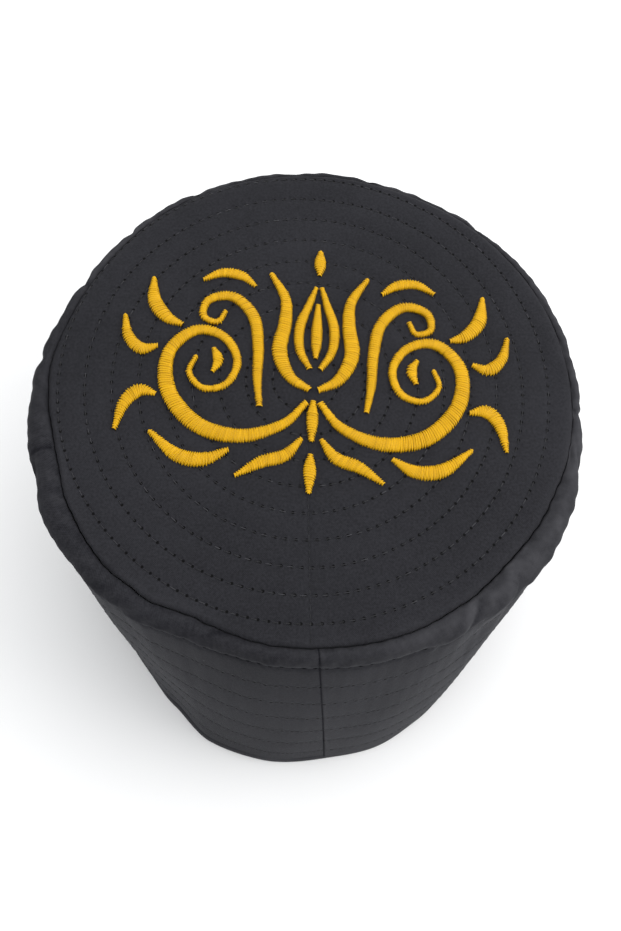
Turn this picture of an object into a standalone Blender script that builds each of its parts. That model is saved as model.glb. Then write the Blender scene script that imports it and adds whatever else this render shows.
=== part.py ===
"""Quilted prayer cap: a round quilted crown sewn onto a tall quilted side wall, with a raised
embroidered ornament of a tulip and scrolls on the crown.

Lengths are in metres and +Z is up. The cap rests on its rim. The origin is the centre of the
head opening, level with the rim, and the front seam of the wall faces -Y.
"""
from collections import namedtuple
from math import radians

import bmesh
import bpy
import numpy as np
from mathutils import Euler, Matrix

# Head opening: an oval, longer from front to back
OPENING_HALF_WIDTH = 0.0845
OPENING_HALF_LENGTH = 0.097

# Crown: the round top, whose seam lies in a plane that leans a little towards the front
CROWN_RADIUS = 0.090
CROWN_HEIGHT = 0.108
CROWN_SHIFT_RIGHT = 0.0014
CROWN_SHIFT_BACK = 0.0070
CROWN_LEAN_FRONT = radians(4.8)
CROWN_LEAN_RIGHT = radians(1.5)
CROWN_DOME = 0.0030
CROWN_CLOTH = 0.0025
SEAM_DEPTH = 0.0008

# Stitch rings of the crown, and the rib that swells between two rings
RING_PITCH = 0.00915
RING_EDGE_MARGIN = 0.0055
RING_SHIFT_RIGHT = -0.0030
RING_SHIFT_BACK = 0.0022
RING_RELIEF = 0.0004

# Side wall: a soft roll under the seam, rows of stitches below it and a straight hem
WALL_CLOTH = 0.0030
ROLL_PUFF = 0.0090
ROLL_HEIGHT = 0.0090
WALL_BELLY = 0.0040
DENT_DEPTH = 0.0020
ROW_PITCH = 0.0132
ROW_RELIEF = 0.0006
HEM_HEIGHT = 0.0030

# Vertical seam where the wall's ends are joined, a little to the right of the front
WALL_SEAM_ANGLE = 274.5
WALL_SEAM_WIDTH = 1.6
WALL_SEAM_DEPTH = 0.0007

# Embroidered ornament, in satin stitch
ORNAMENT_EDGE_MARGIN = 0.0220
ORNAMENT_HALF_LENGTH = 0.0465
ORNAMENT_SHIFT_RIGHT = 0.0
ORNAMENT_SHIFT_BACK = 0.0075
STROKE_WIDTH = 0.0054
STROKE_HEIGHT = 0.0010
STROKE_SHOULDER = 0.62

# Gap between sewn pieces, and how finely the cloth is faceted
CLEARANCE = 0.0003
SECTION_STEP = 6.0
SECTION_GAP = 2.5
STROKE_STEP = 0.0036

# Outline by angle from +X: crown is a share of the crown's radius, puff of the roll's largest
# puff, rim of the head opening's half width and half length, belly of the wall's belly.
Outline = namedtuple("Outline", "angle crown puff rim belly")
OUTLINE = (
    Outline(0, 1.000, 0.36, 1.000, 0.20),
    Outline(25, 1.000, 0.34, 1.000, 0.20),
    Outline(50, 0.994, 0.20, 1.000, 0.20),
    Outline(72, 0.985, 0.19, 1.000, 0.20),
    Outline(95, 0.988, 0.20, 1.000, 0.20),
    Outline(130, 0.994, 0.24, 1.000, 0.20),
    Outline(148, 0.986, 0.34, 1.000, 0.25),
    Outline(163, 0.992, 0.44, 1.000, 0.25),
    Outline(178, 1.010, 0.62, 1.000, 0.25),
    Outline(198, 0.994, 1.00, 0.985, 0.20),
    Outline(212, 1.018, 0.94, 0.970, 0.10),
    Outline(224, 1.028, 0.84, 0.965, 0.10),
    Outline(235, 1.018, 0.76, 0.980, 0.00),
    Outline(248, 0.984, 0.70, 1.015, 0.20),
    Outline(262, 0.996, 0.56, 1.012, 0.50),
    Outline(280, 0.995, 0.56, 0.995, 0.60),
    Outline(293, 0.994, 0.60, 1.005, 0.60),
    Outline(305, 0.993, 0.72, 0.995, 0.45),
    Outline(320, 0.994, 0.84, 0.980, 0.25),
    Outline(337, 1.001, 0.72, 0.985, 0.20),
    Outline(350, 1.002, 0.50, 1.000, 0.25),
)

# Roll in section: out is a share of the puff, drop a share of the roll's height.
Roll = namedtuple("Roll", "out drop")
ROLL = (
    Roll(0.00, 0.00),
    Roll(0.12, 0.00),
    Roll(0.45, -0.10),
    Roll(0.80, 0.06),
    Roll(1.00, 0.35),
    Roll(0.97, 0.66),
    Roll(0.80, 1.00),
)

# Puckers where the roll is gathered into the seam: depth is a share of the local puff.
Pucker = namedtuple("Pucker", "angle half_width depth")
PUCKERS = (
    Pucker(51, 2.4, 0.34),
    Pucker(79, 2.0, 0.24),
    Pucker(97, 2.2, 0.28),
    Pucker(121, 2.4, 0.34),
    Pucker(140, 2.2, 0.30),
    Pucker(156, 2.2, 0.34),
    Pucker(176, 2.0, 0.28),
    Pucker(201, 2.2, 0.14),
    Pucker(307, 2.0, 0.20),
    Pucker(318, 2.0, 0.22),
)

# Soft dents in the wall: down is a share of the wall below the roll, half_width is in degrees,
# half_down a share of the same wall, depth a share of the dent depth.
Dent = namedtuple("Dent", "angle down half_width half_down depth")
DENTS = (
    Dent(20, 0.45, 16, 0.30, 0.6),
    Dent(75, 0.60, 18, 0.30, 0.7),
    Dent(128, 0.40, 15, 0.28, 0.8),
    Dent(165, 0.65, 14, 0.25, 0.6),
    Dent(205, 0.30, 9, 0.20, 0.6),
    Dent(238, 0.72, 12, 0.25, 0.5),
    Dent(312, 0.16, 5, 0.10, 0.8),
    Dent(325, 0.55, 12, 0.30, 0.6),
)

# Strokes of the ornament: x is a share of its half width, y of its half length, width of the
# widest stroke. Each row is a point that the stroke's middle line passes through.
Knot = namedtuple("Knot", "x y width")
CENTRE_STROKES = {
    "tulip_heart": (
        Knot(0.000, 0.065, 0.19),
        Knot(0.000, 0.215, 0.63),
        Knot(0.000, 0.387, 0.48),
        Knot(0.000, 0.516, 0.17),
    ),
    "top_drop": (
        Knot(0.000, 0.785, 0.19),
        Knot(0.000, 0.892, 0.70),
        Knot(0.000, 1.000, 0.19),
    ),
    "stem": (
        Knot(0.000, -0.290, 0.22),
        Knot(0.000, -0.430, 0.67),
        Knot(0.000, -0.602, 0.22),
    ),
    "foot_drop": (
        Knot(0.000, -0.710, 0.19),
        Knot(0.000, -0.828, 0.74),
        Knot(0.000, -1.000, 0.19),
    ),
}
PAIRED_STROKES = {
    "tulip_petal": (
        Knot(0.024, -0.194, 0.30),
        Knot(0.126, -0.097, 0.67),
        Knot(0.185, 0.108, 0.89),
        Knot(0.165, 0.344, 0.78),
        Knot(0.171, 0.559, 0.59),
        Knot(0.253, 0.774, 0.22),
    ),
    "bud_petal": (
        Knot(0.028, -0.022, 0.26),
        Knot(0.082, 0.129, 0.48),
        Knot(0.088, 0.323, 0.56),
        Knot(0.047, 0.516, 0.41),
        Knot(0.015, 0.667, 0.19),
    ),
    "main_scroll": (
        Knot(0.036, -0.301, 0.30),
        Knot(0.147, -0.484, 0.56),
        Knot(0.353, -0.591, 0.85),
        Knot(0.574, -0.516, 1.00),
        Knot(0.728, -0.258, 0.93),
        Knot(0.743, 0.054, 0.78),
        Knot(0.618, 0.249, 0.63),
        Knot(0.471, 0.202, 0.52),
        Knot(0.394, 0.011, 0.44),
        Knot(0.438, -0.181, 0.39),
        Knot(0.553, -0.228, 0.33),
        Knot(0.632, -0.108, 0.28),
        Knot(0.604, 0.030, 0.20),
    ),
    "scroll_bud": (
        Knot(0.518, 0.099, 0.19),
        Knot(0.491, 0.009, 0.59),
        Knot(0.515, -0.090, 0.19),
    ),
    "inner_scroll": (
        Knot(0.268, -0.348, 0.26),
        Knot(0.288, -0.129, 0.48),
        Knot(0.294, 0.129, 0.63),
        Knot(0.329, 0.387, 0.67),
        Knot(0.441, 0.551, 0.59),
        Knot(0.565, 0.516, 0.48),
        Knot(0.588, 0.374, 0.37),
        Knot(0.512, 0.327, 0.30),
        Knot(0.475, 0.420, 0.20),
    ),
    "high_leaf": (
        Knot(0.691, 0.292, 0.22),
        Knot(0.774, 0.348, 0.74),
        Knot(0.844, 0.486, 0.81),
        Knot(0.862, 0.688, 0.19),
    ),
    "side_leaf": (
        Knot(0.806, 0.103, 0.22),
        Knot(0.888, 0.073, 0.74),
        Knot(0.959, 0.176, 0.59),
        Knot(0.988, 0.353, 0.17),
    ),
    "tail_leaf": (
        Knot(0.790, -0.292, 0.22),
        Knot(0.875, -0.271, 0.81),
        Knot(0.941, -0.378, 0.70),
        Knot(0.974, -0.581, 0.17),
    ),
    "low_leaf": (
        Knot(0.406, -0.704, 0.22),
        Knot(0.521, -0.787, 0.81),
        Knot(0.656, -0.760, 0.81),
        Knot(0.800, -0.589, 0.19),
    ),
    "foot_leaf": (
        Knot(0.050, -0.589, 0.22),
        Knot(0.126, -0.723, 0.70),
        Knot(0.241, -0.783, 0.70),
        Knot(0.362, -0.895, 0.17),
    ),
    "crown_leaf": (
        Knot(0.332, 0.654, 0.20),
        Knot(0.406, 0.740, 0.59),
        Knot(0.509, 0.761, 0.56),
        Knot(0.603, 0.692, 0.17),
    ),
}

Finish = namedtuple("Finish", "colour roughness metallic")
COTTON = Finish((0.035, 0.035, 0.039, 1.0), 0.92, 0.0)
GOLD_THREAD = Finish((0.90, 0.48, 0.020, 1.0), 0.45, 0.0)


def clear_scene():
    """Remove every object of the open scene."""
    for old in list(bpy.data.objects):
        bpy.data.objects.remove(old, do_unlink=True)


def make_material(name, finish):
    """A plain surface of one colour."""
    material = bpy.data.materials.new(name)
    material.use_nodes = True
    shader = material.node_tree.nodes["Principled BSDF"]
    shader.inputs["Base Color"].default_value = finish.colour
    shader.inputs["Roughness"].default_value = finish.roughness
    shader.inputs["Metallic"].default_value = finish.metallic
    return material


def crown_matrix():
    """Frame of the crown: its centre, with the seam's plane as its XY plane."""
    centre = Matrix.Translation((CROWN_SHIFT_RIGHT, CROWN_SHIFT_BACK, CROWN_HEIGHT))
    return centre @ Euler((CROWN_LEAN_FRONT, CROWN_LEAN_RIGHT, 0.0)).to_matrix().to_4x4()


def unit(degrees):
    """Horizontal unit vectors at the given angles, one row each."""
    angle = np.radians(degrees)
    return np.stack([np.cos(angle), np.sin(angle), np.zeros_like(angle)], axis=-1)


def turn(degrees):
    """The same angle difference, between -180 and 180 degrees."""
    return (np.asarray(degrees) + 180.0) % 360.0 - 180.0


def section_angles():
    """Angles of the sections: evenly spaced, with three at each pucker and at the wall's seam."""
    folds = [row.angle + side * row.half_width for row in PUCKERS for side in (-1.5, 0.0, 1.5)]
    folds += [WALL_SEAM_ANGLE + side * WALL_SEAM_WIDTH for side in (-1.0, 0.0, 1.0)]
    even = [angle for angle in np.arange(0.0, 360.0, SECTION_STEP)
            if min(abs(turn(angle - fold)) for fold in folds) > SECTION_GAP]
    return np.sort(np.array(folds + even) % 360.0)


def around(column, degrees):
    """One column of the outline at each angle, eased from row to row."""
    rows = sorted(OUTLINE, key=lambda row: row.angle)
    starts = np.array([row.angle for row in rows] + [rows[0].angle + 360.0])
    values = np.array([getattr(row, column) for row in rows] + [getattr(rows[0], column)])
    angle = (np.asarray(degrees) - starts[0]) % 360.0 + starts[0]
    index = np.clip(np.searchsorted(starts, angle, side="right") - 1, 0, len(rows) - 1)
    share = (angle - starts[index]) / (starts[index + 1] - starts[index])
    eased = share * share * (3.0 - 2.0 * share)
    return values[index] + (values[index + 1] - values[index]) * eased


def roll_puff(degrees):
    """How far the roll stands out from the seam, less its puckers."""
    puff = ROLL_PUFF * around("puff", degrees)
    for row in PUCKERS:
        puff = puff * (1.0 - row.depth * np.exp(-(turn(degrees - row.angle) / row.half_width) ** 2))
    return puff


def dent_depth(degrees, down):
    """How far the wall is pushed in at each angle, at a share of the way down."""
    from_seam = turn(degrees - WALL_SEAM_ANGLE) / WALL_SEAM_WIDTH
    depth = WALL_SEAM_DEPTH * np.clip(1.0 - np.abs(from_seam), 0.0, None)
    for row in DENTS:
        across = (turn(degrees - row.angle) / row.half_width) ** 2
        along = ((down - row.down) / row.half_down) ** 2
        depth += DENT_DEPTH * row.depth * np.exp(-across - along)
    return depth


def seam_points(degrees, gap):
    """Points of the seam in the crown's frame, a gap further out than the seam's line."""
    radius = CROWN_RADIUS * around("crown", degrees) + gap
    return radius[:, None] * unit(degrees)


def dome_height(points):
    """Height of the crown's ribs above the seam's plane, for points in the crown's frame."""
    share = np.hypot(points[..., 0], points[..., 1]) / CROWN_RADIUS
    return SEAM_DEPTH + CROWN_DOME * np.clip(1.0 - share ** 2, 0.0, None)


def loft(name, rings, poles=None):
    """Closed mesh through rings of equally many points.

    Without poles the last ring is joined to the first, and with them a fan of triangles
    closes each end.
    """
    shape = bmesh.new()
    rows = [[shape.verts.new(point) for point in ring] for ring in rings]
    count = len(rows[0])
    pairs = list(zip(rows, rows[1:]))
    if poles is None:
        pairs.append((rows[-1], rows[0]))
    for upper, lower in pairs:
        for i in range(count):
            j = (i + 1) % count
            shape.faces.new((upper[i], lower[i], lower[j], upper[j]))
    for pole, row in zip(poles or (), (rows[0], rows[-1])):
        tip = shape.verts.new(pole)
        for i in range(count):
            shape.faces.new((tip, row[i], row[(i + 1) % count]))
    bmesh.ops.recalc_face_normals(shape, faces=shape.faces)
    mesh = bpy.data.meshes.new(name)
    shape.to_mesh(mesh)
    shape.free()
    mesh.shade_smooth()
    mesh.set_sharp_from_angle(angle=radians(50.0))
    return mesh


def crown_mesh(degrees):
    """The crown in its own frame: a shallow dome whose stitch rings are grooves."""
    centre = np.array([RING_SHIFT_RIGHT, RING_SHIFT_BACK, 0.0])
    edge = seam_points(degrees, -CLEARANCE / 2.0)
    reach = edge - centre
    length = np.linalg.norm(reach, axis=1)[:, None]
    outer_ring = CROWN_RADIUS - RING_EDGE_MARGIN
    radii = np.arange(outer_ring, RING_PITCH / 4.0, -RING_PITCH / 2.0)[::-1]
    rings = []
    for step, radius in enumerate(radii):
        ring = centre + reach * (radius / length)
        is_stitched = (len(radii) - 1 - step) % 2 == 0
        ring[:, 2] = dome_height(ring) - (RING_RELIEF if is_stitched else 0.0)
        rings.append(ring)
    margin = length - outer_ring
    for share, lift in ((0.35, 1.0), (0.62, 0.85), (0.90, 0.0), (1.0, 0.0)):
        ring = centre + reach * ((outer_ring + margin * share) / length)
        ring[:, 2] = lift * SEAM_DEPTH
        rings.append(ring)
    for share in (1.0, 0.75, 0.45):
        ring = centre + reach * share
        ring[:, 2] = (dome_height(ring) - SEAM_DEPTH) * (share < 1.0) - CROWN_CLOTH
        rings.append(ring)
    top = (*centre[:2], dome_height(centre))
    bottom = (*centre[:2], dome_height(centre) - SEAM_DEPTH - CROWN_CLOTH)
    return loft("crown_top", rings, poles=(top, bottom))


def wall_rows():
    """Shares of the way down and the relief of each row, from the roll to the hem."""
    count = max(2, round((CROWN_HEIGHT - ROLL_HEIGHT) / ROW_PITCH))
    shares = np.arange(1, 2 * count) / (2.0 * count)
    relief = np.where(np.arange(1, 2 * count) % 2 == 1, ROW_RELIEF, 0.0)
    return shares, relief


def wall_mesh(degrees):
    """The side wall: its outer face from the seam to the rim, then its inner face back up."""
    frame = np.array(crown_matrix())
    across = unit(degrees)
    puff = roll_puff(degrees)
    seam = seam_points(degrees, CLEARANCE / 2.0)
    rim = across * around("rim", degrees)[:, None]
    rim *= np.array([OPENING_HALF_WIDTH, OPENING_HALF_LENGTH, 0.0])
    belly = WALL_BELLY * around("belly", degrees)

    def at_seam(out, drop):
        """Points beside the seam, out along the crown and down from it."""
        local = seam + across * np.asarray(out)[:, None]
        local[:, 2] = -drop
        return local @ frame[:3, :3].T + frame[:3, 3]

    def down_wall(start, share, raised):
        """Points of a row at a share of the way from the roll to the rim, raised outwards."""
        swell = belly * 4.0 * share * (1.0 - share) - dent_depth(degrees, share) + raised
        row = start + (rim - start) * share + across * swell[:, None]
        row[:, 2] = start[:, 2] * (1.0 - share)
        return row

    outer = [at_seam(row.out * puff, row.drop * ROLL_HEIGHT) for row in ROLL]
    start = outer[-1]
    for share, relief in zip(*wall_rows()):
        outer.append(down_wall(start, share, relief))
    outer.append(rim + np.array([0.0, 0.0, HEM_HEIGHT]))
    outer.append(rim)

    lining = rim - across * WALL_CLOTH
    inner = [lining, lining + np.array([0.0, 0.0, HEM_HEIGHT])]
    for share in (0.8, 0.6, 0.4, 0.2):
        inner.append(down_wall(start, share, -WALL_CLOTH))
    inner.append(at_seam(np.maximum(ROLL[-1].out * puff - WALL_CLOTH, 0.0), ROLL_HEIGHT))
    inner.append(at_seam(np.maximum(0.9 * (puff - WALL_CLOTH), 0.0), WALL_CLOTH + 0.1 * ROLL_HEIGHT))
    inner.append(at_seam(np.zeros(len(degrees)), WALL_CLOTH))
    return loft("side_wall", outer + inner)


def smooth_path(knots):
    """Points of a smooth curve through the knots, as columns x, y and width."""
    half_width = CROWN_RADIUS - ORNAMENT_EDGE_MARGIN
    scale = np.array([half_width, ORNAMENT_HALF_LENGTH, STROKE_WIDTH])
    rows = np.array(knots) * scale
    rows = np.vstack([2.0 * rows[0] - rows[1], rows, 2.0 * rows[-1] - rows[-2]])
    path = []
    for before, start, end, after in zip(rows, rows[1:], rows[2:], rows[3:]):
        span = np.linalg.norm((end - start)[:2])
        steps = max(2, round(span / STROKE_STEP))
        t = np.arange(steps)[:, None] / steps
        path.append(start + 0.5 * t * (end - before)
                    + t ** 2 * (before - 2.5 * start + 2.0 * end - 0.5 * after)
                    + t ** 3 * (1.5 * (start - end) + 0.5 * (after - before)))
    return np.vstack(path + [rows[-2]])


def stroke_mesh(name, knots, side):
    """A raised satin stroke in the crown's frame, flat below and rounded above."""
    path = smooth_path(knots)
    path[:, 0] *= side
    along = np.gradient(path[:, :2], axis=0)
    along /= np.linalg.norm(along, axis=1)[:, None]
    sideways = np.stack([-along[:, 1], along[:, 0]], axis=1)
    middle = path[:, :2] + np.array([ORNAMENT_SHIFT_RIGHT, ORNAMENT_SHIFT_BACK])
    width = path[:, 2:3]
    height = STROKE_HEIGHT * (0.55 + 0.45 * np.clip(path[:, 2] / STROKE_WIDTH, 0.0, 1.0))
    base = dome_height(middle) + CLEARANCE
    profile = ((-0.5, 0.0), (-0.36, STROKE_SHOULDER), (0.0, 1.0), (0.36, STROKE_SHOULDER), (0.5, 0.0))
    corners = [np.column_stack([middle + sideways * width * out, base + height * lift])
               for out, lift in profile]
    sections = np.stack(corners, axis=1)
    shape = bmesh.new()
    rows = [[shape.verts.new(point) for point in section] for section in sections]
    for near, far in zip(rows, rows[1:]):
        for i in range(len(profile)):
            j = (i + 1) % len(profile)
            shape.faces.new((near[i], near[j], far[j], far[i]))
    shape.faces.new(rows[0])
    shape.faces.new(rows[-1])
    bmesh.ops.recalc_face_normals(shape, faces=shape.faces)
    mesh = bpy.data.meshes.new(name)
    shape.to_mesh(mesh)
    shape.free()
    mesh.shade_smooth()
    mesh.set_sharp_from_angle(angle=radians(50.0))
    return mesh


def add_piece(mesh, material, group, parent=None):
    """An object for a mesh, in the cap's collection and on its parent."""
    mesh.materials.append(material)
    piece = bpy.data.objects.new(mesh.name, mesh)
    group.objects.link(piece)
    piece.parent = parent
    return piece


def main():
    """Build the cap."""
    clear_scene()
    group = bpy.data.collections.new("prayer_cap")
    bpy.context.scene.collection.children.link(group)
    cotton = make_material("black_cotton", COTTON)
    gold = make_material("gold_thread", GOLD_THREAD)
    crown_frame = bpy.data.objects.new("crown_frame", None)
    crown_frame.matrix_world = crown_matrix()
    group.objects.link(crown_frame)

    degrees = section_angles()
    add_piece(wall_mesh(degrees), cotton, group)
    add_piece(crown_mesh(degrees), cotton, group, crown_frame)
    for name, knots in CENTRE_STROKES.items():
        add_piece(stroke_mesh(name, knots, 1.0), gold, group, crown_frame)
    for name, knots in PAIRED_STROKES.items():
        add_piece(stroke_mesh(name + "_right", knots, 1.0), gold, group, crown_frame)
        add_piece(stroke_mesh(name + "_left", knots, -1.0), gold, group, crown_frame)


main()
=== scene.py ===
"""Looks of the quilted prayer cap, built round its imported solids.

Lengths are in metres and +Z is up. The cap rests on its rim, the origin is the centre of the head
opening, and the front seam of the wall faces -Y. Each class below builds one part of the cap from
the sizes in CapShape, in the places of the solids that it stands for.
"""
import logging
from dataclasses import dataclass, field
from enum import Enum, IntEnum
from typing import ClassVar, NamedTuple, Union

import bpy
import numpy as np
from mathutils import Euler, Matrix


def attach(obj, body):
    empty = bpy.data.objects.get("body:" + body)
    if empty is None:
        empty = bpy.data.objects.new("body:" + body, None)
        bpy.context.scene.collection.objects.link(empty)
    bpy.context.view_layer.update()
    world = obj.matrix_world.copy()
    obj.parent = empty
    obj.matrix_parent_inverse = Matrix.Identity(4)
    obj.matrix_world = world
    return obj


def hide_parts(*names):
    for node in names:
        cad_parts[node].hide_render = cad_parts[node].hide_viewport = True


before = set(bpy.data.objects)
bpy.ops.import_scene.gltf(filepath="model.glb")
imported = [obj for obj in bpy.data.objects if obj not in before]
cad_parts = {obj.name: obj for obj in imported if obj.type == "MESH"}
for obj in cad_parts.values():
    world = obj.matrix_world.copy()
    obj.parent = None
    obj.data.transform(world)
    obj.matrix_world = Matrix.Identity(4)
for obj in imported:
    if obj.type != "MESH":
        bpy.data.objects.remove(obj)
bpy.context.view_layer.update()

Array = np.ndarray
Socket = bpy.types.NodeSocket
Value = Union[float, tuple, Socket]
LOG = logging.getLogger("prayer_cap")
MM = 0.001


class Slot(Enum):
    """Material slots of the record."""

    COTTON = "cotton"
    GOLD_THREAD = "gold_thread"


class Held(Enum):
    """How a sheet of cloth is held."""

    STRETCHED = "stretched"
    GATHERED = "gathered"


class Seed(IntEnum):
    """Seeds of the random draws, one for each kind of unevenness."""

    SEAM = 2
    CROWN = 3
    WRINKLES = 5
    SLACK = 8
    BLOTCHES = 9
    RINGS = 11
    LINE = 22
    ROWS = 31
    STROKES = 100


class Outline(NamedTuple):
    """The cap's outline at an angle from +X: shares of the crown's radius, of the roll's largest
    puff, of the head opening's half width and half length, and of the wall's belly."""

    angle: float
    crown: float
    puff: float
    rim: float
    belly: float


class Roll(NamedTuple):
    """A point of the roll in section: shares of the puff and of the roll's height."""

    out: float
    drop: float


class Pucker(NamedTuple):
    """A gather where the roll is sewn to the crown. Its depth is a share of the local puff."""

    angle: float
    half_width: float
    depth: float


class Dent(NamedTuple):
    """A soft dent of the wall: down and half_down are shares of the wall below the roll, depth
    a share of the dent depth, and half_width is in degrees."""

    angle: float
    down: float
    half_width: float
    half_down: float
    depth: float


class Crease(NamedTuple):
    """A fold line on the wall from one place to another: down is a share of the way from the
    seam to the rim along the cloth, rise a share of the crease height, negative for a furrow."""

    angle: float
    down: float
    end_angle: float
    end_down: float
    rise: float


class Knot(NamedTuple):
    """A point of an embroidered stroke: shares of the ornament's half width and half length, and
    of the widest stroke."""

    x: float
    y: float
    width: float


class Hem(NamedTuple):
    """A row of the hem in millimetres: height over the floor, and out from the rim's oval."""

    rise: float
    out: float


class WearAndLight(NamedTuple):
    """A bell curve across a line on the cloth, for rubbing and for painted light and shade: its
    height, negative for painted shade, how far from the line its middle lies, and its half width."""

    strength: float
    centre: float
    half_width: float

    def at(self, distance: Array) -> Array:
        """Its height at distances from the line."""
        return self.strength * bell(distance - self.centre, self.half_width)


class Lamp(NamedTuple):
    """A square soft light that faces the cap: its place, watts, width and colour."""

    name: str
    place: tuple
    watts: float
    size: float
    colour: tuple


OUTLINE = (
    Outline(0, 1.000, 0.36, 1.000, 0.20),
    Outline(25, 1.000, 0.34, 1.000, 0.20),
    Outline(50, 0.994, 0.20, 1.000, 0.20),
    Outline(72, 0.985, 0.19, 1.000, 0.20),
    Outline(95, 0.988, 0.20, 1.000, 0.20),
    Outline(130, 0.994, 0.24, 1.000, 0.20),
    Outline(148, 0.986, 0.34, 1.000, 0.25),
    Outline(163, 0.992, 0.44, 1.000, 0.25),
    Outline(178, 1.010, 0.62, 1.000, 0.25),
    Outline(198, 0.994, 1.00, 0.985, 0.20),
    Outline(212, 1.018, 1.02, 0.970, 0.10),
    Outline(224, 1.028, 0.84, 0.965, 0.10),
    Outline(235, 1.018, 0.76, 0.980, 0.00),
    Outline(248, 0.984, 0.70, 1.015, 0.20),
    Outline(262, 0.996, 0.56, 1.012, 0.50),
    Outline(280, 0.995, 0.56, 0.995, 0.60),
    Outline(293, 0.994, 0.60, 1.005, 0.60),
    Outline(305, 0.987, 0.86, 0.995, 0.50),
    Outline(320, 0.978, 1.07, 0.980, 0.50),
    Outline(337, 0.988, 0.87, 0.985, 0.20),
    Outline(350, 0.999, 0.54, 1.000, 0.25),
)

ROLL = (
    Roll(0.00, 0.00),
    Roll(0.12, 0.00),
    Roll(0.45, -0.10),
    Roll(0.80, 0.06),
    Roll(1.00, 0.35),
    Roll(1.00, 0.66),
    Roll(0.92, 1.00),
)

HEM = (
    Hem(3.6, 0.25),
    Hem(3.0, 0.10),
    Hem(2.4, 0.28),
    Hem(1.4, 0.36),
    Hem(0.7, 0.26),
    Hem(0.25, 0.0),
    Hem(0.06, -0.35),
    Hem(0.0, -0.7),
    Hem(0.0, -2.3),
    Hem(0.06, -2.65),
    Hem(0.3, -2.9),
    Hem(0.9, -3.0),
    Hem(2.4, -3.0),
)

# The wall's inner rows, as shares of the way from the roll's foot to the rim.
INNER_SHARES = np.linspace(0.955, 0.03, 30)

# The crown's outermost rows, as shares of the way from the outermost ring to the seam, and its
# lower rows, as shares of the way from the centre of the rings to the seam.
EDGE_SHARES = np.array([0.12, 0.24, 0.36, 0.48, 0.58, 0.67, 0.75, 0.82, 0.88, 0.93, 0.97, 1.0])
UNDER_SHARES = np.array([1.0, 0.97, 0.85, 0.65, 0.4, 0.15])

# Painted light and rubbing down the cloth from the crown's seam: the roll's crest, rubbed pale
# with a painted highlight, and painted shade at its lip. Round the wall from its front seam: rubbed
# pale beside it, and painted shade in it. Rubbing of the hem.
CREST_RUB_AND_HIGHLIGHT = WearAndLight(0.90, 0.0035, 0.0040)
LIP_SHADE = WearAndLight(-0.42, 0.0112, 0.0028)
SEAM_EDGE = WearAndLight(0.12, 0.0011, 0.0006)
SEAM_SHADE = WearAndLight(-0.60, 0.0, 0.0003)
HEM_WEAR = 0.5

# Millimetres that stand for a place far from any stitch.
FAR = 9.0

# Lengths in metres of the waves in each kind of unevenness.
WAVES = {
    Seed.SEAM: (0.0034, 0.0051, 0.0080),
    Seed.CROWN: (0.019, 0.027, 0.041, 0.060),
    Seed.WRINKLES: (0.0046, 0.0065, 0.0098),
    Seed.SLACK: (0.022, 0.034, 0.055),
    Seed.BLOTCHES: (0.0027, 0.0041, 0.0063, 0.0110),
}

LAMPS = (
    Lamp("ceiling_light", (0.60, 0.35, 1.4), 10.9, 2.0, (1.0, 1.0, 1.0)),
    Lamp("right_light", (1.1, -0.05, 0.60), 6.2, 0.9, (1.0, 0.99, 0.98)),
)

PUCKERS = (
    Pucker(51, 2.4, 0.34),
    Pucker(79, 2.0, 0.24),
    Pucker(97, 2.2, 0.28),
    Pucker(121, 2.4, 0.34),
    Pucker(140, 2.2, 0.30),
    Pucker(156, 2.2, 0.34),
    Pucker(176, 2.0, 0.28),
    Pucker(201, 2.2, 0.04),
    Pucker(307, 2.0, 0.07),
    Pucker(318, 2.0, 0.08),
)

DENTS = (
    Dent(20, 0.45, 16, 0.30, 0.6),
    Dent(75, 0.60, 18, 0.30, 0.7),
    Dent(128, 0.40, 15, 0.28, 0.8),
    Dent(165, 0.65, 14, 0.25, 0.6),
    Dent(205, 0.30, 9, 0.20, 0.6),
    Dent(238, 0.72, 12, 0.25, 0.5),
    Dent(312, 0.16, 5, 0.10, 0.8),
    Dent(325, 0.55, 12, 0.30, 0.6),
)

CREASES = (
    Crease(297, 0.120, 307, 0.020, 0.60),
    Crease(300, 0.125, 309, 0.030, -0.65),
    Crease(308, 0.110, 318, 0.020, 0.50),
    Crease(311, 0.115, 321, 0.030, -0.65),
    Crease(325, 0.090, 333, 0.040, 0.40),
    Crease(197, 0.005, 197, 0.070, -0.9),
    Crease(198, 0.060, 205, 0.085, -0.5),
    Crease(229, 0.120, 238, 0.080, 0.35),
    Crease(344, 0.090, 352, 0.030, -0.5),
    Crease(140, 0.010, 138, 0.140, -0.5),
    Crease(121, 0.010, 122, 0.150, -0.6),
    Crease(79, 0.010, 80, 0.130, -0.4),
    Crease(51, 0.010, 50, 0.150, -0.6),
    Crease(156, 0.010, 157, 0.140, -0.6),
    Crease(176, 0.010, 175, 0.120, -0.4),
)

CENTRE_STROKES = {
    "tulip_heart": (
        Knot(0.000, 0.065, 0.19),
        Knot(0.000, 0.215, 0.63),
        Knot(0.000, 0.387, 0.48),
        Knot(0.000, 0.516, 0.17),
    ),
    "top_drop": (
        Knot(0.000, 0.785, 0.19),
        Knot(0.000, 0.892, 0.70),
        Knot(0.000, 1.000, 0.19),
    ),
    "stem": (
        Knot(0.000, -0.290, 0.22),
        Knot(0.000, -0.430, 0.67),
        Knot(0.000, -0.602, 0.22),
    ),
    "foot_drop": (
        Knot(0.000, -0.710, 0.19),
        Knot(0.000, -0.828, 0.74),
        Knot(0.000, -1.000, 0.19),
    ),
}

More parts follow.
